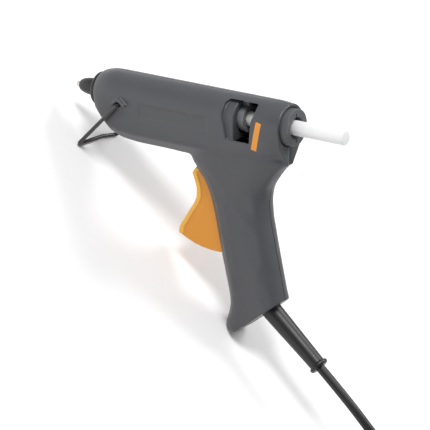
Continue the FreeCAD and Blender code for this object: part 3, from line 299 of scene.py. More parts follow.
class Material:
    """A material under construction: a Principled shader and one surface group that feeds it."""

    def __init__(self, name: str) -> None:
        """Makes the material.

        Args:
            name: the material's name.
        """
        self.data = bpy.data.materials.new(name)
        self.data.use_nodes = True
        self.nodes = self.data.node_tree.nodes
        self.links = self.data.node_tree.links
        self.shader = self.nodes["Principled BSDF"]

    def group(self, group: ShaderGroup, **values: object) -> bpy.types.ShaderNodeGroup:
        """Places a shader group.

        Args:
            group: the group.
            values: its input values, by input name in lower case.

        Returns:
            The node.
        """
        node = self.nodes.new("ShaderNodeGroup")
        node.node_tree = group.tree
        for label, value in values.items():
            node.inputs[label.capitalize()].default_value = value
        return node

    def surface(self, node: bpy.types.ShaderNodeGroup, depth: float) -> None:
        """Feeds a surface group's colour, roughness and height to the shader.

        Args:
            node: the placed group.
            depth: depth of the bump, in metres.
        """
        self.links.new(node.outputs["Colour"], self.shader.inputs["Base Color"])
        self.links.new(node.outputs["Roughness"], self.shader.inputs["Roughness"])
        bump = self.nodes.new("ShaderNodeBump")
        bump.inputs["Strength"].default_value = 1.0
        bump.inputs["Distance"].default_value = depth
        self.links.new(node.outputs["Height"], bump.inputs["Height"])
        self.links.new(bump.outputs["Normal"], self.shader.inputs["Normal"])


@dataclass(frozen=True)
class Moulded:
    """A moulded plastic, rubber, silicone or ceramic finish."""

    name: str
    colour: Colour
    roughness: float = 0.5
    spread: float = 0.1
    grain: float = 2600.0
    mottle: float = 0.12
    depth: float = 0.00002
    coat: float = 0.0
    specular: float = 0.5

    def build(self, groups: Groups) -> Material:
        """Builds the material.

        Args:
            groups: the shared shader groups.

        Returns:
            The material.
        """
        made = Material(self.name)
        node = made.group(groups.moulded, colour=(*self.colour, 1.0), grain=self.grain, mottle=self.mottle,
                          roughness=self.roughness, spread=self.spread)
        made.surface(node, self.depth)
        made.shader.inputs["Specular IOR Level"].default_value = self.specular
        made.shader.inputs["Coat Weight"].default_value = self.coat
        made.shader.inputs["Coat Roughness"].default_value = 0.2
        return made


@dataclass(frozen=True)
class Metal:
    """A drawn, rolled or turned metal finish."""

    name: str
    colour: Colour
    roughness: float = 0.3
    spread: float = 0.2
    lines: float = 1800.0
    tarnish: float = 0.3
    depth: float = 0.00001

    def build(self, groups: Groups) -> Material:
        """Builds the material.

        Args:
            groups: the shared shader groups.

        Returns:
            The material.
        """
        made = Material(self.name)
        node = made.group(groups.drawn, colour=(*self.colour, 1.0), lines=self.lines, tarnish=self.tarnish,
                          roughness=self.roughness, spread=self.spread)
        made.surface(node, self.depth)
        made.shader.inputs["Metallic"].default_value = 1.0
        return made


@dataclass(frozen=True)
class HotMelt:
    """The waxy, cloudy glue stick."""

    name: str = "hot_melt_glue"
    colour: Colour = (0.93, 0.94, 0.93)
    roughness: float = 0.33
    depth: float = 0.00004
    milkiness: float = 0.9
    milk_reach: float = 0.006
    clearness: float = 0.25
    refraction: float = 1.48

    def build(self, groups: Groups) -> Material:
        """Builds the material.

        Args:
            groups: the shared shader groups.

        Returns:
            The material.
        """
        made = Material(self.name)
        node = made.group(groups.moulded, colour=(*self.colour, 1.0), grain=700.0, mottle=0.04,
                          roughness=self.roughness, spread=0.15)
        made.surface(node, self.depth)
        shader = made.shader.inputs
        shader["Subsurface Weight"].default_value = self.milkiness
        shader["Subsurface Radius"].default_value = (self.milk_reach,) * 3
        shader["Subsurface Scale"].default_value = 1.0
        shader["Transmission Weight"].default_value = self.clearness
        shader["IOR"].default_value = self.refraction
        return made


@dataclass(frozen=True)
class CasingFinish:
    """The fine-textured satin casing, with one plain slanted stripe and painted shade along its parting line."""

    name: str = "casing_plastic"
    colour: Colour = (0.070, 0.072, 0.079)
    stripe_colour: Colour = (0.80, 0.30, 0.03)
    # The seam colour is painted shade: near-black standing for the shadow in the gap between the two halves.
    seam_shade_colour: Colour = (0.012, 0.012, 0.014)
    stripe_x: float = -0.0233
    stripe_z: float = -0.0063
    stripe_lean: float = 0.21
    stripe_half: float = 0.0022
    stripe_reach: float = 0.0108
    roughness: float = 0.40
    depth: float = 0.000018
    seam_shade_half: float = 0.00022
    print_and_shade_edge: float = 0.0002
    left_side: float = -0.025
    side_half: float = 0.016

    def build(self, groups: Groups) -> Material:
        """Builds the material.

        Args:
            groups: the shared shader groups.

        Returns:
            The material.
        """
        made = Material(self.name)
        node = made.group(groups.moulded, colour=(*self.colour, 1.0), grain=2300.0, mottle=0.10,
                          roughness=self.roughness, spread=0.12)
        made.surface(node, self.depth)
        place = made.nodes.new("ShaderNodeTexCoord")
        split = made.nodes.new("ShaderNodeSeparateXYZ")
        made.links.new(place.outputs["Object"], split.inputs[0])
        # Painted shade: a dark band along the parting line, where the gap between the halves is in shadow.
        seam = made.group(groups.band, level=0.0, half=self.seam_shade_half, edge=self.print_and_shade_edge)
        made.links.new(split.outputs["Y"], seam.inputs["Value"])
        turned = made.nodes.new("ShaderNodeMapping")
        turned.vector_type = "TEXTURE"
        stripe_origin = GUN @ Vector((self.stripe_x, 0.0, self.stripe_z))
        turned.inputs["Location"].default_value = stripe_origin
        tilt = math.atan2(STICK_AXIS.z, STICK_AXIS.x)
        turned.inputs["Rotation"].default_value = (0.0, -tilt + self.stripe_lean, 0.0)
        made.links.new(place.outputs["Object"], turned.inputs["Vector"])
        local = made.nodes.new("ShaderNodeSeparateXYZ")
        made.links.new(turned.outputs["Vector"], local.inputs[0])
        across = made.group(groups.band, level=0.0, half=self.stripe_half, edge=self.print_and_shade_edge)
        along = made.group(groups.band, level=0.0, half=self.stripe_reach, edge=self.print_and_shade_edge)
        side = made.group(groups.band, level=self.left_side, half=self.side_half, edge=0.0005)
        made.links.new(local.outputs["X"], across.inputs["Value"])
        made.links.new(local.outputs["Z"], along.inputs["Value"])
        made.links.new(split.outputs["Y"], side.inputs["Value"])
        mask = across.outputs["Mask"]
        for other in (along, side):
            both = made.nodes.new("ShaderNodeMath")
            both.operation = "MULTIPLY"
            made.links.new(mask, both.inputs[0])
            made.links.new(other.outputs["Mask"], both.inputs[1])
            mask = both.outputs[0]
        colour = node.outputs["Colour"]
        # Mixes in the printed stripe, then the painted shade along the parting line.
        for factor, tint in ((mask, self.stripe_colour), (seam.outputs["Mask"], self.seam_shade_colour)):
            mix = made.nodes.new("ShaderNodeMix")
            mix.data_type = "RGBA"
            made.links.new(factor, mix.inputs["Factor"])
            made.links.new(colour, mix.inputs[6])
            mix.inputs[7].default_value = (*tint, 1.0)
            colour = mix.outputs[2]
        made.links.new(colour, made.shader.inputs["Base Color"])
        return made


Finish = Moulded | Metal | HotMelt | CasingFinish


@dataclass
class Palette:
    """Every finish, built once and handed out by name."""

    groups: Groups
    made: dict[str, bpy.types.Material] = field(default_factory=dict)

    def get(self, finish: Finish) -> bpy.types.Material:
        """The material of a finish, built the first time it is asked for."""
        if finish.name not in self.made:
            self.made[finish.name] = finish.build(self.groups).data
        return self.made[finish.name]


CASING = CasingFinish()
MELT = HotMelt()
BLACK_SILICONE = Moulded("black_silicone", (0.006, 0.006, 0.0065), 0.42, 0.14, 1900.0, 0.25, 0.00001, specular=0.55)
CORD_SKIN = Moulded("cord_rubber", (0.006, 0.006, 0.0065), 0.46, 0.15, 1500.0, 0.3, 0.00002)
PLUG_SKIN = Moulded("plug_plastic", (0.012, 0.012, 0.013), 0.40, 0.12, 2400.0, 0.2, 0.00002)
TRIGGER_SIDE = Moulded("trigger_orange", (0.76, 0.30, 0.022), 0.42, 0.12, 2300.0, 0.07, 0.00001)
# A lighter copy of the trigger's orange: a painted highlight for the rim's lit edge.
TRIGGER_RIM_HIGHLIGHT = Moulded("trigger_rim_painted_highlight", (0.90, 0.47, 0.07), 0.38, 0.10, 2300.0, 0.05, 0.000008)
GUIDE_PLASTIC = Moulded("guide_plastic", (0.085, 0.087, 0.094), 0.5, 0.1, 2300.0, 0.1, 0.000014)
CARRIAGE_PLASTIC = Moulded("carriage_plastic", (0.16, 0.165, 0.175), 0.45, 0.12, 2000.0, 0.12, 0.000012)
CLAMP_PLASTIC = Moulded("clamp_plastic", (0.12, 0.12, 0.12), 0.5)
RED_SILICONE = Moulded("red_silicone", (0.42, 0.045, 0.03), 0.45, 0.12, 1500.0, 0.12)
LIVE_LEAD = Moulded("brown_lead", (0.22, 0.075, 0.025), 0.42)
NEUTRAL_LEAD = Moulded("blue_lead", (0.03, 0.09, 0.33), 0.42)
HEATER_FILM = Moulded("amber_film", (0.52, 0.22, 0.03), 0.25, 0.12, 900.0, 0.15, 0.000008, coat=0.4)
HEATER_CERAMIC = Moulded("heater_ceramic", (0.27, 0.26, 0.25), 0.7, 0.1, 3200.0, 0.3, 0.00002)
BAIL_WIRE = Metal("bail_wire", (0.075, 0.073, 0.072), 0.24, 0.2, 2200.0, 0.4)
TIP_METAL = Metal("nozzle_metal", (0.62, 0.58, 0.52), 0.30, 0.2, 2600.0, 0.35)
SPRING_STEEL = Metal("spring_steel", (0.55, 0.55, 0.56), 0.28)
SCREW_STEEL = Metal("blackened_steel", (0.07, 0.07, 0.075), 0.42, 0.2, 1500.0, 0.4)
CHAMBER_CAST = Metal("chamber_casting", (0.56, 0.56, 0.57), 0.48, 0.25, 500.0, 0.35, 0.00003)
ELECTRODE = Metal("electrode_sheet", (0.68, 0.68, 0.70), 0.30)
TERMINAL = Metal("tinned_brass", (0.70, 0.67, 0.58), 0.32)
PIN_METAL = Metal("pin_nickel", (0.72, 0.70, 0.66), 0.20, 0.12, 2400.0, 0.2)


# ---------------------------------------------------------------- mesh work


def mesh_of(work: bmesh.types.BMesh, name: str) -> bpy.types.Mesh:
    """A new mesh with the edited geometry, which is then let go."""
    mesh = bpy.data.meshes.new(name)
    work.to_mesh(mesh)
    work.free()
    return mesh


def edge_pairs(mesh: bpy.types.Mesh) -> np.ndarray:
    """The two vertex numbers of each edge, one edge a row."""
    edges = np.empty(len(mesh.edges) * 2, np.int64)
    mesh.edges.foreach_get("vertices", edges)
    return edges.reshape(-1, 2)


def vertex_places(mesh: bpy.types.Mesh) -> np.ndarray:
    """The place of each vertex, one vertex a row."""
    place = np.empty(len(mesh.vertices) * 3)
    mesh.vertices.foreach_get("co", place)
    return place.reshape(-1, 3)


def new_piece(name: str, mesh: bpy.types.Mesh) -> bpy.types.Object:
    """Puts a mesh of the bench frame into the scene as a piece, at the origin."""
    piece = bpy.data.objects.new(name, mesh)
    bpy.context.scene.collection.objects.link(piece)
    return piece


def smooth_shaded(mesh: bpy.types.Mesh, angle: float = 35.0) -> None:
    """Shades a mesh smoothly, but for edges that turn more than the angle, in degrees."""
    mesh.polygons.foreach_set("use_smooth", [True] * len(mesh.polygons))
    mesh.set_sharp_from_angle(angle=math.radians(angle))


def dressed(piece: bpy.types.Object, palette: Palette, finish: Finish, slot: str, body: Body, *nodes: str) -> None:
    """Gives a piece its finish and body, and hides the CAD nodes that it stands for.

    Args:
        piece: the piece.
        palette: the palette that the finish comes from.
        finish: its finish, used when it has no material yet.
        slot: the record's material slot; not used.
        body: the body it rides on.
        nodes: names of the CAD nodes it replaces.
    """
    if not piece.data.materials:
        piece.data.materials.append(palette.get(finish))
    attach(piece, body.value)
    if nodes:
        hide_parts(*nodes)


def softened(profile: Profile, radius: float, steps: int = 3) -> Profile:
    """Rounds the corners of a lathe profile.

    Args:
        profile: corner points, each (along, out), in millimetres.
        radius: how far from each corner the rounding starts at most.
        steps: points in each rounding.

    Returns:
        The rounded profile.
    """
    points: Profile = [profile[0]]
    for before, here, after in zip(profile, profile[1:], profile[2:]):
        a = Vector(before) - Vector(here)
        b = Vector(after) - Vector(here)
        if a.length < 1e-6 or b.length < 1e-6 or a.angle(-b) < math.radians(12.0):
            points.append(here)
            continue
        cut = min(radius, a.length * 0.45, b.length * 0.45)
        first = Vector(here) + a.normalized() * cut
        last = Vector(here) + b.normalized() * cut
        for step in range(steps + 1):
            t = step / steps
            p = first * (1 - t) ** 2 + Vector(here) * 2 * t * (1 - t) + last * t ** 2
            points.append((p.x, p.y))
    points.append(profile[-1])
    return points


def grid_faces(rows: int, columns: int, ring: bool, loop: bool) -> list[list[int]]:
    """Four-sided faces over rows of points.

    Args:
        rows: how many rows there are.
        columns: how many points each row has.
        ring: whether the last row joins the first.
        loop: whether each row's last point joins its first.

    Returns:
        The point numbers of each face.
    """
    faces: list[list[int]] = []
    for row in range(rows if ring else rows - 1):
        here, there = row * columns, (row + 1) % rows * columns
        for step in range(columns if loop else columns - 1):
            after = (step + 1) % columns
            faces.append([here + step, there + step, there + after, here + after])
    return faces


def lathed(name: str, profile: Profile, place: Matrix = GUN, sides: int = 72, closed: bool = True) -> bpy.types.Object:
    """Spins a profile about the X axis of a frame.

    Args:
        name: the piece's name.
        profile: (along, out) points in millimetres.
        place: matrix from that frame to the bench frame.
        sides: points round the circle.
        closed: whether the profile's last point joins its first, as on a ring.

    Returns:
        The piece.
    """
    vertices: list[Vector] = []
    for turn in range(sides):
        angle = math.tau * turn / sides
        for along, out in profile:
            local = Vector((along, out * math.cos(angle), out * math.sin(angle))) * MM
            vertices.append(place @ local)
    mesh = bpy.data.meshes.new(name)
    mesh.from_pydata(vertices, [], grid_faces(sides, len(profile), True, closed))
    work = bmesh.new()
    work.from_mesh(mesh)
    bmesh.ops.remove_doubles(work, verts=work.verts, dist=1e-7)
    bmesh.ops.recalc_face_normals(work, faces=work.faces)
    work.to_mesh(mesh)
    work.free()
    smooth_shaded(mesh)
    return new_piece(name, mesh)


def rounded_line(corners: list[Vector], radius: float, steps: int = 8) -> list[Vector]:
    """A line with an arc at each corner.

    Args:
        corners: the corner points.
        radius: bend radius, in the points' unit.
        steps: points in each arc.

    Returns:
        The line's points.
    """
    line = [corners[0]]
    for before, here, after in zip(corners, corners[1:], corners[2:]):
        back = (before - here).normalized()
        ahead = (after - here).normalized()
        half = (math.pi - back.angle(ahead)) / 2.0
        cut = min(radius * math.tan(half), (before - here).length * 0.48, (after - here).length * 0.48)
        bend = cut / math.tan(half)
        middle = here + (back + ahead).normalized() * (bend / math.cos(half))
        first = here + back * cut - middle
        last = here + ahead * cut - middle
        for step in range(steps + 1):
            turn = first.rotation_difference(last)
            arm = first.copy()
            part = turn.copy()
            part.angle = turn.angle * step / steps
            arm.rotate(part)
            line.append(middle + arm)
    line.append(corners[-1])
    return line


def swept_tube(name: str, line: list[Vector], radius: float, sides: int = 20) -> bpy.types.Object:
    """A round wire along a line, with slightly domed ends.

    Args:
        name: the piece's name.
        line: its centreline, in the bench frame.
        radius: the wire's radius.
        sides: points round it.

    Returns:
        The piece.
    """
    first_way = (line[1] - line[0]).normalized()
    side = first_way.orthogonal().normalized()
    ahead, behind = [*line[1:], line[-1]], [line[0], *line[:-1]]
    rings = [(point, (after - before).normalized(), radius) for point, after, before in zip(line, ahead, behind)]
    rings.insert(0, (line[0] - first_way * radius * 0.25, rings[0][1], radius * 0.7))
    last_way = rings[-1][1]
    rings.append((line[-1] + last_way * radius * 0.25, last_way, radius * 0.7))
    vertices: list[Vector] = []
    for point, way, size in rings:
        side = (side - way * side.dot(way)).normalized()
        other = way.cross(side)
        for turn in range(sides):
            angle = math.tau * turn / sides
            vertices.append(point + (side * math.cos(angle) + other * math.sin(angle)) * size)
    faces = [face[::-1] for face in grid_faces(len(rings), sides, False, True)]
    faces.append(list(range(sides))[::-1])
    faces.append([(len(rings) - 1) * sides + turn for turn in range(sides)])
    mesh = bpy.data.meshes.new(name)
    mesh.from_pydata(vertices, [], faces)
    smooth_shaded(mesh, 50.0)
    return new_piece(name, mesh)


def skin_of(name: str, nodes: list[bpy.types.Object], voxel: float) -> bpy.types.Object:
    """A new even skin over one or more CAD nodes.

    Args:
        name: the piece's name.
        nodes: the CAD nodes it covers.
        voxel: size of its faces.

    Returns:
        The piece, with its own mesh.
    """
    work = bmesh.new()
    for node in nodes:
        work.from_mesh(node.data)
    bmesh.ops.remove_doubles(work, verts=work.verts, dist=1e-6)
    source = new_piece(name + "_source", mesh_of(work, name + "_source"))
    remesh = source.modifiers.new("even", "REMESH")
    remesh.mode = "VOXEL"
    remesh.voxel_size = voxel
    graph = bpy.context.evaluated_depsgraph_get()
    even = bpy.data.meshes.new_from_object(source.evaluated_get(graph))
    even.name = name
    even.materials.clear()
    bpy.data.objects.remove(source)
    return new_piece(name, even)


def without_crumbs(mesh: bpy.types.Mesh) -> None:
    """Removes the small closed bubbles that a remesh can leave inside a wall.

    Args:
        mesh: the mesh, changed in place.
    """
    edges = edge_pairs(mesh)
    label = np.arange(len(mesh.vertices))
    while True:
        low = np.minimum(label[edges[:, 0]], label[edges[:, 1]])
        new = label.copy()
        np.minimum.at(new, edges[:, 0], low)
        np.minimum.at(new, edges[:, 1], low)
        new = new[new]
        if np.array_equal(new, label):
            break
        label = new
    _, group, sizes = np.unique(label, return_inverse=True, return_counts=True)
    small = np.flatnonzero(sizes[group] < len(label) * 0.02)
    if len(small):
        work = bmesh.new()
        work.from_mesh(mesh)
        work.verts.ensure_lookup_table()
        bmesh.ops.delete(work, geom=[work.verts[i] for i in small], context="VERTS")
        work.to_mesh(mesh)
        work.free()


def relaxed(mesh: bpy.types.Mesh, passes: int, share: np.ndarray | None = None) -> None:
    """Evens out a mesh by moving each vertex towards the middle of its neighbours.

    Args:
        mesh: the mesh, changed in place.
        passes: how many times.
        share: for each vertex, the share of the passes it takes part in; all of them if left out.
    """
    count = len(mesh.vertices)
    place = vertex_places(mesh)
    edges = edge_pairs(mesh)
    near = np.bincount(edges.ravel(), minlength=count).astype(float)[:, None]
    for turn in range(passes):
        total = np.zeros_like(place)
        for axis in range(3):
            total[:, axis] = (np.bincount(edges[:, 0], place[edges[:, 1], axis], count)
                              + np.bincount(edges[:, 1], place[edges[:, 0], axis], count))
        step = (total / near - place) * 0.5
        if share is not None:
            step *= np.clip(share * passes - turn, 0.0, 1.0)[:, None]
        place += step
    mesh.vertices.foreach_set("co", place.ravel())
    mesh.update()


# ---------------------------------------------------------------- sub-assemblies


@dataclass(frozen=True)
class Zone:
    """A box in the gun's own frame, in millimetres, where the casing keeps its small shapes."""

    low: Point
    high: Point
    fade: float = 7.0

    def nearness(self, points: np.ndarray) -> np.ndarray:
        """How much each point, in millimetres, belongs to the zone: 1 inside, falling to 0 over the fade."""
        past = np.maximum(np.array(self.low) - points, points - np.array(self.high)).clip(min=0.0)
        return (1.0 - np.linalg.norm(past, axis=1) / self.fade).clip(0.0, 1.0)


@dataclass
class Casing:
    """The two moulded halves, as skins with soft edges and a parting line between them."""

    frame: dict
    voxel: float = 0.00055
    passes: int = 70
    light: float = 0.04
    groove: float = 0.0003
    zones: tuple[Zone, ...] = (
        Zone((-56.0, -40.0, -16.0), (-24.0, -4.0, 18.0), 4.0),
        Zone((-130.0, -40.0, -11.0), (-64.0, -14.0, 1.5), 3.0),
        Zone((-96.0, -12.0, -114.0), (-46.0, 12.0, -37.0)),
        Zone((-155.0, -40.0, -9.0), (-137.0, -14.0, 4.0), 3.0),
        Zone((-155.0, 14.0, -9.0), (-137.0, 40.0, 4.0), 3.0),
        Zone((-9.0, -40.0, -30.0), (5.0, 40.0, 30.0), 4.0),
        Zone((-180.0, -40.0, -20.0), (-171.0, 40.0, 20.0), 3.0),
        Zone((-36.0, -40.0, -160.0), (-4.0, 40.0, -134.0), 4.0),
    )
    screw_places: tuple[tuple[float, float], ...] = (
        (-155.0, -24.3), (-104.0, -26.0), (-14.5, -23.5), (-27.0, -119.0), (-49.0, -147.5),
    )
    skin: bpy.types.Object | None = None
    halves: list[bpy.types.Object] = field(default_factory=list)

    def build(self) -> None:
        """Skins both halves together, evens the skin and parts it along the seam."""
        nodes = [self.frame["nodes"]["housing_left"], self.frame["nodes"]["housing_right"]]
        self.skin = skin_of("casing_skin", nodes, self.voxel)
        mesh = self.skin.data
        without_crumbs(mesh)
        relaxed(mesh, self.passes, self.smoothing_share(mesh))
        self.part_at_seam()

    def smoothing_share(self, mesh: bpy.types.Mesh) -> np.ndarray:
        """How much of the smoothing each vertex takes.

        Args:
            mesh: the skin.

        Returns:
            A share from the light one near small shapes to 1 on the open walls.
        """
        back = np.array(GUN.inverted())
        local = (vertex_places(mesh) @ back[:3, :3].T + back[:3, 3]) / MM
        zones = list(self.zones)
        for x, z in self.screw_places:
            zones.append(Zone((x - 4.0, 4.0, z - 4.0), (x + 4.0, 40.0, z + 4.0), 3.0))
        kept = np.zeros(len(local))
        for zone in zones:
            kept = np.maximum(kept, zone.nearness(local))
        return self.light + (1.0 - self.light) * (1.0 - kept) ** 2

    def part_at_seam(self) -> None:
        """Cuts the skin along the middle into left and right pieces whose edges sink into a fine groove."""
        for name, keep in (("casing_left", -1.0), ("casing_right", 1.0)):
            work = bmesh.new()
            work.from_mesh(self.skin.data)
            geometry = work.verts[:] + work.edges[:] + work.faces[:]
            bmesh.ops.bisect_plane(work, geom=geometry, dist=1e-7, plane_co=(0, 0, 0), plane_no=(0, keep, 0),
                                   clear_inner=True)
            work.normal_update()
            for vertex in work.verts:
                if abs(vertex.co.y) < 1e-6:
                    sunk = vertex.normal.copy()
                    sunk.y = 0.0
                    if sunk.length > 0.3:
                        vertex.co -= sunk.normalized() * self.groove
            mesh = mesh_of(work, name)
            smooth_shaded(mesh, 60.0)
            self.halves.append(new_piece(name, mesh))
        bpy.data.objects.remove(self.skin)

    def dress(self, palette: Palette) -> None:
        """Gives both halves the casing finish."""
        for piece, node in zip(self.halves, ("housing_left", "housing_right")):
            dressed(piece, palette, CASING, "housing", Body.CASING, node)


@dataclass
class NoseParts:
    """The black front ring, the sleeved nozzle and its bare metal tip."""

    nose_x: float = -174.5
    cap_r: float = 13.2
    sleeve_r: float = 6.7
    tip_x: float = -199.8
    tip_r: float = 2.25
    cap_length: float = 4.0
    groove_r: float = 11.5
    groove_end: float = 2.25
    lip_r: float = 12.7
    lip_end: float = 3.85
    bore_gap: float = 0.05
    body_r: float = 5.0
    thread_r: float = 4.0
    flange_r: float = 6.4
    dome_degrees: float = 78.0
    pieces: list[bpy.types.Object] = field(default_factory=list)

    def build(self) -> None:
        """Turns the three pieces."""
        face = self.nose_x - self.cap_length
        groove, lip = self.nose_x + self.groove_end, self.nose_x + self.lip_end
        hole = self.sleeve_r + self.bore_gap
        cap = [
            (face, hole), (face, self.cap_r - 1.6), (face + 0.6, self.cap_r - 0.5), (face + 1.8, self.cap_r),
            (self.nose_x, self.cap_r), (self.nose_x, self.groove_r), (groove, self.groove_r), (groove, self.lip_r),
            (lip, self.lip_r), (lip, hole),
        ]
        self.pieces.append(lathed("front_ring", softened(cap, 0.45)))
        seat = self.body_r + self.bore_gap
        sleeve: Profile = [(self.nose_x - 1.5, seat), (self.nose_x - 1.5, self.sleeve_r)]
        start = self.nose_x - 7.5
        reach = start - (self.tip_x + 4.0)
        dome = math.radians(self.dome_degrees)
        for step in range(13):
            angle = dome * step / 12
            along = start - reach * math.sin(angle) / math.sin(dome)
            sleeve.append((along, self.tip_r + 0.6 + (self.sleeve_r - self.tip_r - 0.6) * math.cos(angle)))
        sleeve += [(self.tip_x + 4.0, self.tip_r + 0.25), (self.tip_x + 6.0, self.tip_r + 0.35),
                   (self.tip_x + 16.0, seat)]
        self.pieces.append(lathed("nozzle_sleeve_rubber", sleeve))
        tip = self.tip_x
        nozzle = [
            (tip, 1.0), (tip, self.tip_r - 0.5), (tip + 0.8, self.tip_r), (tip + 6.0, self.tip_r + 0.3),
            (tip + 16.0, self.body_r), (-171.0, self.body_r), (-171.0, self.flange_r), (-168.0, self.flange_r),
            (-168.0, self.thread_r), (-160.0, self.thread_r), (-160.0, 2.2), (-171.0, 1.0),
        ]
        self.pieces.append(lathed("nozzle_metal", softened(nozzle, 0.25)))

    def dress(self, palette: Palette) -> None:
        """Gives the ring and sleeve black silicone and the nozzle its metal."""
        ring, sleeve, nozzle = self.pieces
        for piece, finish, slot, node in (
            (ring, BLACK_SILICONE, "black_silicone", "front_cap"),
            (sleeve, BLACK_SILICONE, "black_silicone", "nozzle_sleeve"),
            (nozzle, TIP_METAL, "nickel_brass", "nozzle"),
        ):
            dressed(piece, palette, finish, slot, Body.CASING, node)


@dataclass
class RearPort:
    """The ring that the stick is fed through."""

    hole_r: float = 8.1
    ring_r: float = 13.8
    proud: float = 4.9
    wall: float = 2.25
    flange_r: float = 15.2
    flange: float = 2.2
    slit_size: Point = (2.4, 1.0, 3.6)
    slit_out: float = 8.9
    piece: bpy.types.Object | None = None

    def build(self) -> None:
        """Turns the ring and cuts the two short slits beside its hole."""
        seat = -self.proud - self.wall
        profile = [
            (seat - self.flange, self.hole_r), (seat - self.flange, self.flange_r), (seat, self.flange_r),
            (seat, self.ring_r),
            (0.0, self.ring_r), (0.0, self.hole_r),
        ]
        ring = lathed("port_ring", softened(profile, 0.6, 4), sides=144)
        work = bmesh.new()
        for side in (-1.0, 1.0):
            made = bmesh.ops.create_cube(work, size=1.0)
            size = Matrix.Diagonal((*(length * MM for length in self.slit_size), 1.0))
            spot = Matrix.Translation(Vector((0.0, 0.0, side * self.slit_out)) * MM)
            bmesh.ops.transform(work, matrix=GUN @ spot @ size, verts=made["verts"])
        tool = new_piece("slit_tool", mesh_of(work, "slit_tool"))
        cut = ring.modifiers.new("slits", "BOOLEAN")
        cut.operation = "DIFFERENCE"
        cut.object = tool
        graph = bpy.context.evaluated_depsgraph_get()
        ring.data = bpy.data.meshes.new_from_object(ring.evaluated_get(graph))
        ring.modifiers.clear()
        bpy.data.objects.remove(tool)
        smooth_shaded(ring.data, 30.0)
        self.piece = ring

    def dress(self, palette: Palette) -> None:
        """Gives the ring the casing's plastic."""
        dressed(self.piece, palette, GUIDE_PLASTIC, "guide_plastic", Body.CASING, "stick_guide")


@dataclass
class GlueStick:
    """The round hot-melt stick, with a slightly uneven cast skin and a soft cut end."""

    radius: float = 5.6
    front: float = -122.42
    tail: float = 42.0
    piece: bpy.types.Object | None = None

    def build(self) -> None:
        """Turns the stick with faint rings along it."""
        profile: Profile = [(self.front, 0.0), (self.front, self.radius - 0.5), (self.front + 0.5, self.radius)]
        count = 60
        for step in range(1, count):
            along = self.front + 0.5 + (self.tail - self.front - 1.0) * step / count
            profile.append((along, self.radius - 0.03 + 0.03 * math.sin(step * 2.1)))
        profile += [(self.tail - 0.5, self.radius), (self.tail - 0.1, self.radius - 0.35),
                    (self.tail, self.radius - 0.9), (self.tail - 0.15, 0.0)]
        self.piece = lathed("glue_stick_wax", profile, closed=False)

    def dress(self, palette: Palette) -> None:
        """Gives the stick its cloudy wax."""
        dressed(self.piece, palette, MELT, "hot_melt", Body.STICK, "glue_stick")


@dataclass
class Trigger:
    """The orange trigger, with a painted highlight on its proud front rim."""

    frame: dict
    voxel: float = 0.0004
    rim_half: float = 0.0089
    rim_top: float = -0.042
    piece: bpy.types.Object | None = None

    def build(self) -> None:
        """Skins the trigger and softens its edges."""
        self.piece = skin_of("trigger_blade", [self.frame["nodes"]["trigger"]], self.voxel)
        relaxed(self.piece.data, 3)
        smooth_shaded(self.piece.data, 60.0)

    def dress(self, palette: Palette) -> None:
        """Gives the sides orange and the proud rim a lighter orange, a painted highlight where light catches the
        rounded lip.
        """
        mesh = self.piece.data
        mesh.materials.append(palette.get(TRIGGER_SIDE))
        mesh.materials.append(palette.get(TRIGGER_RIM_HIGHLIGHT))
        back = GUN.inverted()
        # Faces of the proud front rim take the painted highlight.
        for face in mesh.polygons:
            local = back @ face.center
            if abs(local.y) > self.rim_half and local.z < self.rim_top:
                face.material_index = 1
        dressed(self.piece, palette, TRIGGER_SIDE, "orange_plastic", Body.TRIGGER, "trigger")


@dataclass
class WireStand:
    """The folding stand, bent from one round wire."""

    wire_r: float = 1.5
    pivot_x: float = -146.0
    pivot_z: float = -2.5
    leg: float = 52.0
    leg_angle: float = 225.0
    corner_half: float = 22.0
    leg_y: float = 20.6
    stub_y: float = 14.0
    skew: float = 4.5
    kink: float = 1.4
    kink_share: float = 0.63
    bend: float = 2.4
    piece: bpy.types.Object | None = None

    def corner(self, side: float) -> Vector:
        """A lower corner of the stand.

        Args:
            side: -1 on the left and 1 on the right.

        Returns:
            Its place in the gun's own frame, in millimetres.
        """
        angle = math.radians(self.leg_angle) + (self.skew / self.leg if side > 0 else 0.0)
        return Vector((self.pivot_x + self.leg * math.cos(angle), side * self.corner_half,
                       self.pivot_z + self.leg * math.sin(angle)))

    def build(self) -> None:
        """Bends the wire."""
        near, far = self.corner(-1.0), self.corner(1.0)
        chord = (far - near).normalized()
        leg = (near - Vector((self.pivot_x, -self.corner_half, self.pivot_z))).normalized()
        kink = near + (far - near) * self.kink_share + chord.cross(leg) * self.kink
        pivot = Vector((self.pivot_x, 0.0, self.pivot_z))
        across = Vector((0.0, 1.0, 0.0))
        corners = [
            pivot - across * self.stub_y, pivot - across * self.leg_y, near, kink, far,
            pivot + across * self.leg_y, pivot + across * self.stub_y,
        ]
        line = [GUN @ (point * MM) for point in rounded_line(corners, self.bend)]
        self.piece = swept_tube("stand_wire", line, self.wire_r * MM)

    def dress(self, palette: Palette) -> None:
        """Gives the wire its dark drawn steel."""
        dressed(self.piece, palette, BAIL_WIRE, "bail_wire", Body.BAIL, "bail_stand")


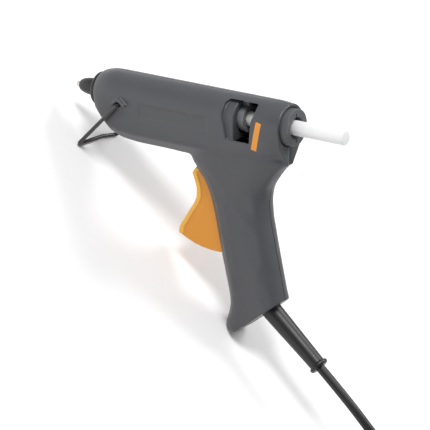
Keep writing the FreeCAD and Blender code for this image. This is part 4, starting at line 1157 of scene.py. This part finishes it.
@dataclass
class StrainRelief:
    """The moulded taper round the cord, with a collar at its end."""

    root: Vector = field(default_factory=lambda: Vector((-21.5, 0.0, -144.2)))
    angle: float = -39.5
    length: float = 56.5
    root_r: float = 7.5
    end_r: float = 6.0
    collar_r: float = 7.5
    collar: float = 3.6
    flange: float = 2.0
    flange_back: float = 7.4
    flange_front: float = 5.4
    bore_r: float = 3.0
    socket: float = 6.0
    socket_r: float = 3.55
    piece: bpy.types.Object | None = None

    def build(self) -> None:
        """Turns the taper, its collar and the flange inside the casing."""
        end = self.length - self.collar
        back, front, wide = -self.flange_back, -self.flange_front, self.root_r + self.flange
        profile = [
            (back, self.bore_r), (back, wide), (front, wide), (front, self.root_r),
            (3.0, self.root_r), (end, self.end_r), (end + 0.4, self.collar_r - 0.5), (end + 1.0, self.collar_r),
            (self.length - 1.0, self.collar_r), (self.length, self.collar_r - 1.2), (self.length, self.socket_r),
            (self.length - self.socket, self.socket_r), (self.length - self.socket, self.bore_r),
        ]
        turn = Matrix.Rotation(-math.radians(self.angle), 4, "Y")
        place = GUN @ Matrix.Translation(self.root * MM) @ turn
        self.piece = lathed("cord_relief", softened(profile, 0.5), place)

    def dress(self, palette: Palette) -> None:
        """Gives the relief the cord's rubber."""
        dressed(self.piece, palette, BLACK_SILICONE, "cord_rubber", Body.CASING, "strain_relief")


@dataclass
class MainsLead:
    """The free lead: its route over the bench, its tied hank and its plug."""

    frame: dict
    radius: float = 0.0035
    route: tuple[Point, ...] = (
        (0.16420, 0.0, 0.04197), (0.19910, 0.0, 0.04471), (0.236, 0.0035, 0.042), (0.264, 0.0125, 0.0355),
        (0.291, 0.0225, 0.024), (0.314, 0.0278, 0.0175),
    )
    near_bend: float = 0.2815
    far_bend: float = 0.3375
    columns: tuple[float, float] = (0.028, 0.021)
    heights: tuple[float, float, float] = (0.0175, 0.0105, 0.0035)
    bend_points: int = 6
    step_down: tuple[float, float] = (0.2875, 0.2985)
    lead_out: tuple[Point, ...] = ((0.324, -0.020, 0.0192), (0.3075, -0.0162, 0.0246), (0.292, -0.013, 0.02785))
    length: float = 1.70
    plug_voxel: float = 0.0006
    tie_x: float = 0.3275
    tie_width: float = 0.0035
    tie_thickness: float = 0.0009
    tie_foot: float = 0.0002
    tie_edge: float = 0.0002
    pieces: list[bpy.types.Object] = field(default_factory=list)

    def bend(self, centre: float, side: float, reach: float, height: float) -> list[Point]:
        """One half-turn round an end of the hank, clockwise from above.

        Args:
            centre: place of the bend's centre along the bench.
            side: 1 for the far end, entered on the back run, and -1 for the near end.
            reach: radius of the bend.
            height: height of the cord's middle.

        Returns:
            Its control points, whose polygon touches the bend.
        """
        step = math.pi / self.bend_points
        out = reach / math.cos(step / 2.0)
        points: list[Point] = []
        for count in range(self.bend_points):
            angle = side * (math.pi / 2.0) - (count + 0.5) * step
            points.append((centre + out * math.cos(angle), out * math.sin(angle), height))
        return points

    def hank_points(self) -> list[Point]:
        """The hank's turns: three down the outer column, then back up the inner one.

        Returns:
            The control points of its turns.
        """
        outer, inner = self.columns
        layers = [(outer, height) for height in self.heights]
        layers += [(inner, height) for height in reversed(self.heights)]
        points: list[Point] = []
        for turn, (reach, height) in enumerate(layers):
            points += self.bend(self.far_bend, 1.0, reach, height)
            if turn == len(layers) - 1:
                break
            points += self.bend(self.near_bend, -1.0, reach, height)
            after, level = layers[turn + 1]
            points.append((self.step_down[0], reach, height))
            points.append((self.step_down[1], after, level))
        return points

    def tie(self, name: str, side: float) -> bpy.types.Object:
        """A flat band round one run of the hank.

        Args:
            name: the piece's name.
            side: 1 for the back run and -1 for the front one.

        Returns:
            The band.
        """
        near = self.columns[1] - self.radius - self.tie_thickness
        far = self.columns[0] + self.radius + self.tie_thickness
        top = self.heights[0] + self.radius + self.tie_thickness
        work = bmesh.new()
        rings = []
        for along in (-0.5, 0.5):
            x = self.tie_x + along * self.tie_width
            for inset in (0.0, self.tie_thickness):
                low, high = self.tie_foot + inset, top - inset
                corners = ((near + inset, low), (far - inset, low), (far - inset, high), (near + inset, high))
                rings.append([work.verts.new((x, side * y, z)) for y, z in corners])
        for one, other in ((0, 1), (1, 3), (3, 2), (2, 0)):
            for corner in range(4):
                after = (corner + 1) % 4
                work.faces.new((rings[one][corner], rings[one][after], rings[other][after], rings[other][corner]))
        bmesh.ops.recalc_face_normals(work, faces=work.faces)
        bmesh.ops.bevel(work, geom=work.edges[:], offset=self.tie_edge, segments=2, affect="EDGES")
        mesh = mesh_of(work, name)
        smooth_shaded(mesh, 40.0)
        return new_piece(name, mesh)

    def build(self) -> None:
        """Lays the lead as one smooth line, ties its hank and skins its plug."""
        curve = bpy.data.curves.new("mains_lead", "CURVE")
        curve.dimensions = "3D"
        curve.bevel_depth = self.radius
        curve.bevel_resolution = 6
        curve.resolution_u = 8
        curve.use_fill_caps = True
        points = [*self.route, *self.hank_points(), *self.lead_out]
        spline = curve.splines.new("NURBS")
        spline.points.add(len(points) - 1)
        for control, point in zip(spline.points, points):
            control.co = (*point, 1.0)
        spline.order_u = 3
        spline.use_endpoint_u = True
        lead = bpy.data.objects.new("mains_lead", curve)
        bpy.context.scene.collection.objects.link(lead)
        plug = skin_of("plug_shell", [self.frame["nodes"]["plug_body"]], self.plug_voxel)
        relaxed(plug.data, 6)
        smooth_shaded(plug.data, 60.0)
        self.pieces = [lead, plug, self.tie("lead_tie_back", 1.0), self.tie("lead_tie_front", -1.0)]

    def dress(self, palette: Palette) -> None:
        lead, plug, *ties = self.pieces
        dressed(lead, palette, CORD_SKIN, "cord_rubber", Body.CASING, "power_cord", "cord_hank", "plug_lead")
        dressed(plug, palette, PLUG_SKIN, "plug_plastic", Body.CASING, "plug_body")
        for tie in ties:
            dressed(tie, palette, PLUG_SKIN, "plug_plastic", Body.CASING)


@dataclass
class InnerParts:
    """The CAD nodes that keep their own shape: the feed, the heater, the leads and the fasteners."""

    frame: dict
    finishes: dict[str, Finish] = field(default_factory=lambda: {
        "feed_carriage": CARRIAGE_PLASTIC, "gripper_jaw": SPRING_STEEL, "jaw_pin": SPRING_STEEL,
        "trigger_pin": SPRING_STEEL, "return_spring": SPRING_STEEL, "inlet_sleeve": RED_SILICONE,
        "sleeve_clamp": SPRING_STEEL, "melt_chamber": CHAMBER_CAST, "heater_film": HEATER_FILM,
        "heater_electrodes": ELECTRODE, "heater_tiles": HEATER_CERAMIC, "heater_wedge": CHAMBER_CAST,
        "lead_terminals": TERMINAL, "lead_live": LIVE_LEAD, "lead_neutral": NEUTRAL_LEAD,
        "housing_screws": SCREW_STEEL, "clamp_screws": SCREW_STEEL, "cord_clamp": CLAMP_PLASTIC,
        "cord_tail": CORD_SKIN, "plug_pins": PIN_METAL,
    })

    def dress(self, palette: Palette) -> None:
        """Gives each carried-over node its finish."""
        for name, finish in self.finishes.items():
            node = self.frame["nodes"][name]
            material = palette.get(finish)
            if not node.material_slots:
                node.data.materials.append(material)
            for slot in node.material_slots:
                slot.material = material
            log.info("node %s: %s", name, finish.name)


# ---------------------------------------------------------------- studio


@dataclass
class Studio:
    """The pale floor, the soft lights and the camera."""

    eye: Point = (0.34283, -1.42947, 1.20812)
    back: Vector = field(default_factory=lambda: Vector((0.16601, -0.76588, 0.62119)))
    right: Vector = field(default_factory=lambda: Vector((0.58877, 0.58231, 0.56060)))
    lens: float = 210.8
    floor_half: float = 6.0
    target: Point = (0.03, 0.0, 0.08)
    surround: float = 0.38
    lamps: tuple[tuple[str, Point, float, float], ...] = (
        ("key_light", (-0.60, -0.46, 1.59), 0.7, 22.0),
        ("back_light", (0.03, 1.02, 1.44), 0.8, 17.0),
    )

    def build(self) -> None:
        """Sets up everything round the object."""
        self.camera()
        self.floor()
        self.lights()

    def camera(self) -> None:
        """Places the camera with its roll."""
        data = bpy.data.cameras.new("camera")
        data.lens = self.lens
        data.sensor_width = 36.0
        data.clip_start = 0.05
        data.clip_end = 30.0
        camera = bpy.data.objects.new("camera", data)
        bpy.context.scene.collection.objects.link(camera)
        up = self.back.cross(self.right).normalized()
        right = up.cross(self.back).normalized()
        turn = Matrix((right, up, self.back.normalized())).transposed().to_4x4()
        camera.matrix_world = Matrix.Translation(Vector(self.eye)) @ turn
        bpy.context.scene.camera = camera

    def floor(self) -> None:
        """Lays the plain pale floor."""
        half = self.floor_half
        mesh = bpy.data.meshes.new("floor")
        mesh.from_pydata([(-half, -half, 0), (half, -half, 0), (half, half, 0), (-half, half, 0)], [], [(0, 1, 2, 3)])
        floor = new_piece("floor", mesh)
        material = bpy.data.materials.new("floor_paint")
        material.use_nodes = True
        shader = material.node_tree.nodes["Principled BSDF"]
        shader.inputs["Base Color"].default_value = (0.93, 0.93, 0.935, 1.0)
        shader.inputs["Roughness"].default_value = 0.9
        shader.inputs["Specular IOR Level"].default_value = 0.1
        mesh.materials.append(material)

    def lights(self) -> None:
        """Hangs the two soft lamps, each with its name, place, size and watts, in an even surround."""
        world = bpy.data.worlds.new("surround")
        world.use_nodes = True
        sky = world.node_tree.nodes["Background"].inputs
        sky["Color"].default_value = (1.0, 1.0, 1.0, 1.0)
        sky["Strength"].default_value = self.surround
        bpy.context.scene.world = world
        for name, place, size, watts in self.lamps:
            data = bpy.data.lights.new(name, "AREA")
            data.shape = "DISK"
            data.size = size
            data.energy = watts
            light = bpy.data.objects.new(name, data)
            bpy.context.scene.collection.objects.link(light)
            light.location = place
            way = Vector(self.target) - Vector(place)
            light.rotation_mode = "QUATERNION"
            light.rotation_quaternion = way.to_track_quat("-Z", "Y")
        bpy.context.scene.view_settings.view_transform = "Standard"


def main() -> None:
    """Builds and dresses the glue gun."""
    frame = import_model()
    studio = Studio()
    studio.build()
    palette = Palette(Groups())
    parts = [
        MainsLead(frame), Casing(frame), NoseParts(), RearPort(), GlueStick(), Trigger(frame), WireStand(),
        StrainRelief(),
    ]
    for part in parts:
        part.build()
        part.dress(palette)
        log.info("built %s", type(part).__name__)
    InnerParts(frame).dress(palette)


if __name__ == "__main__":
    main()
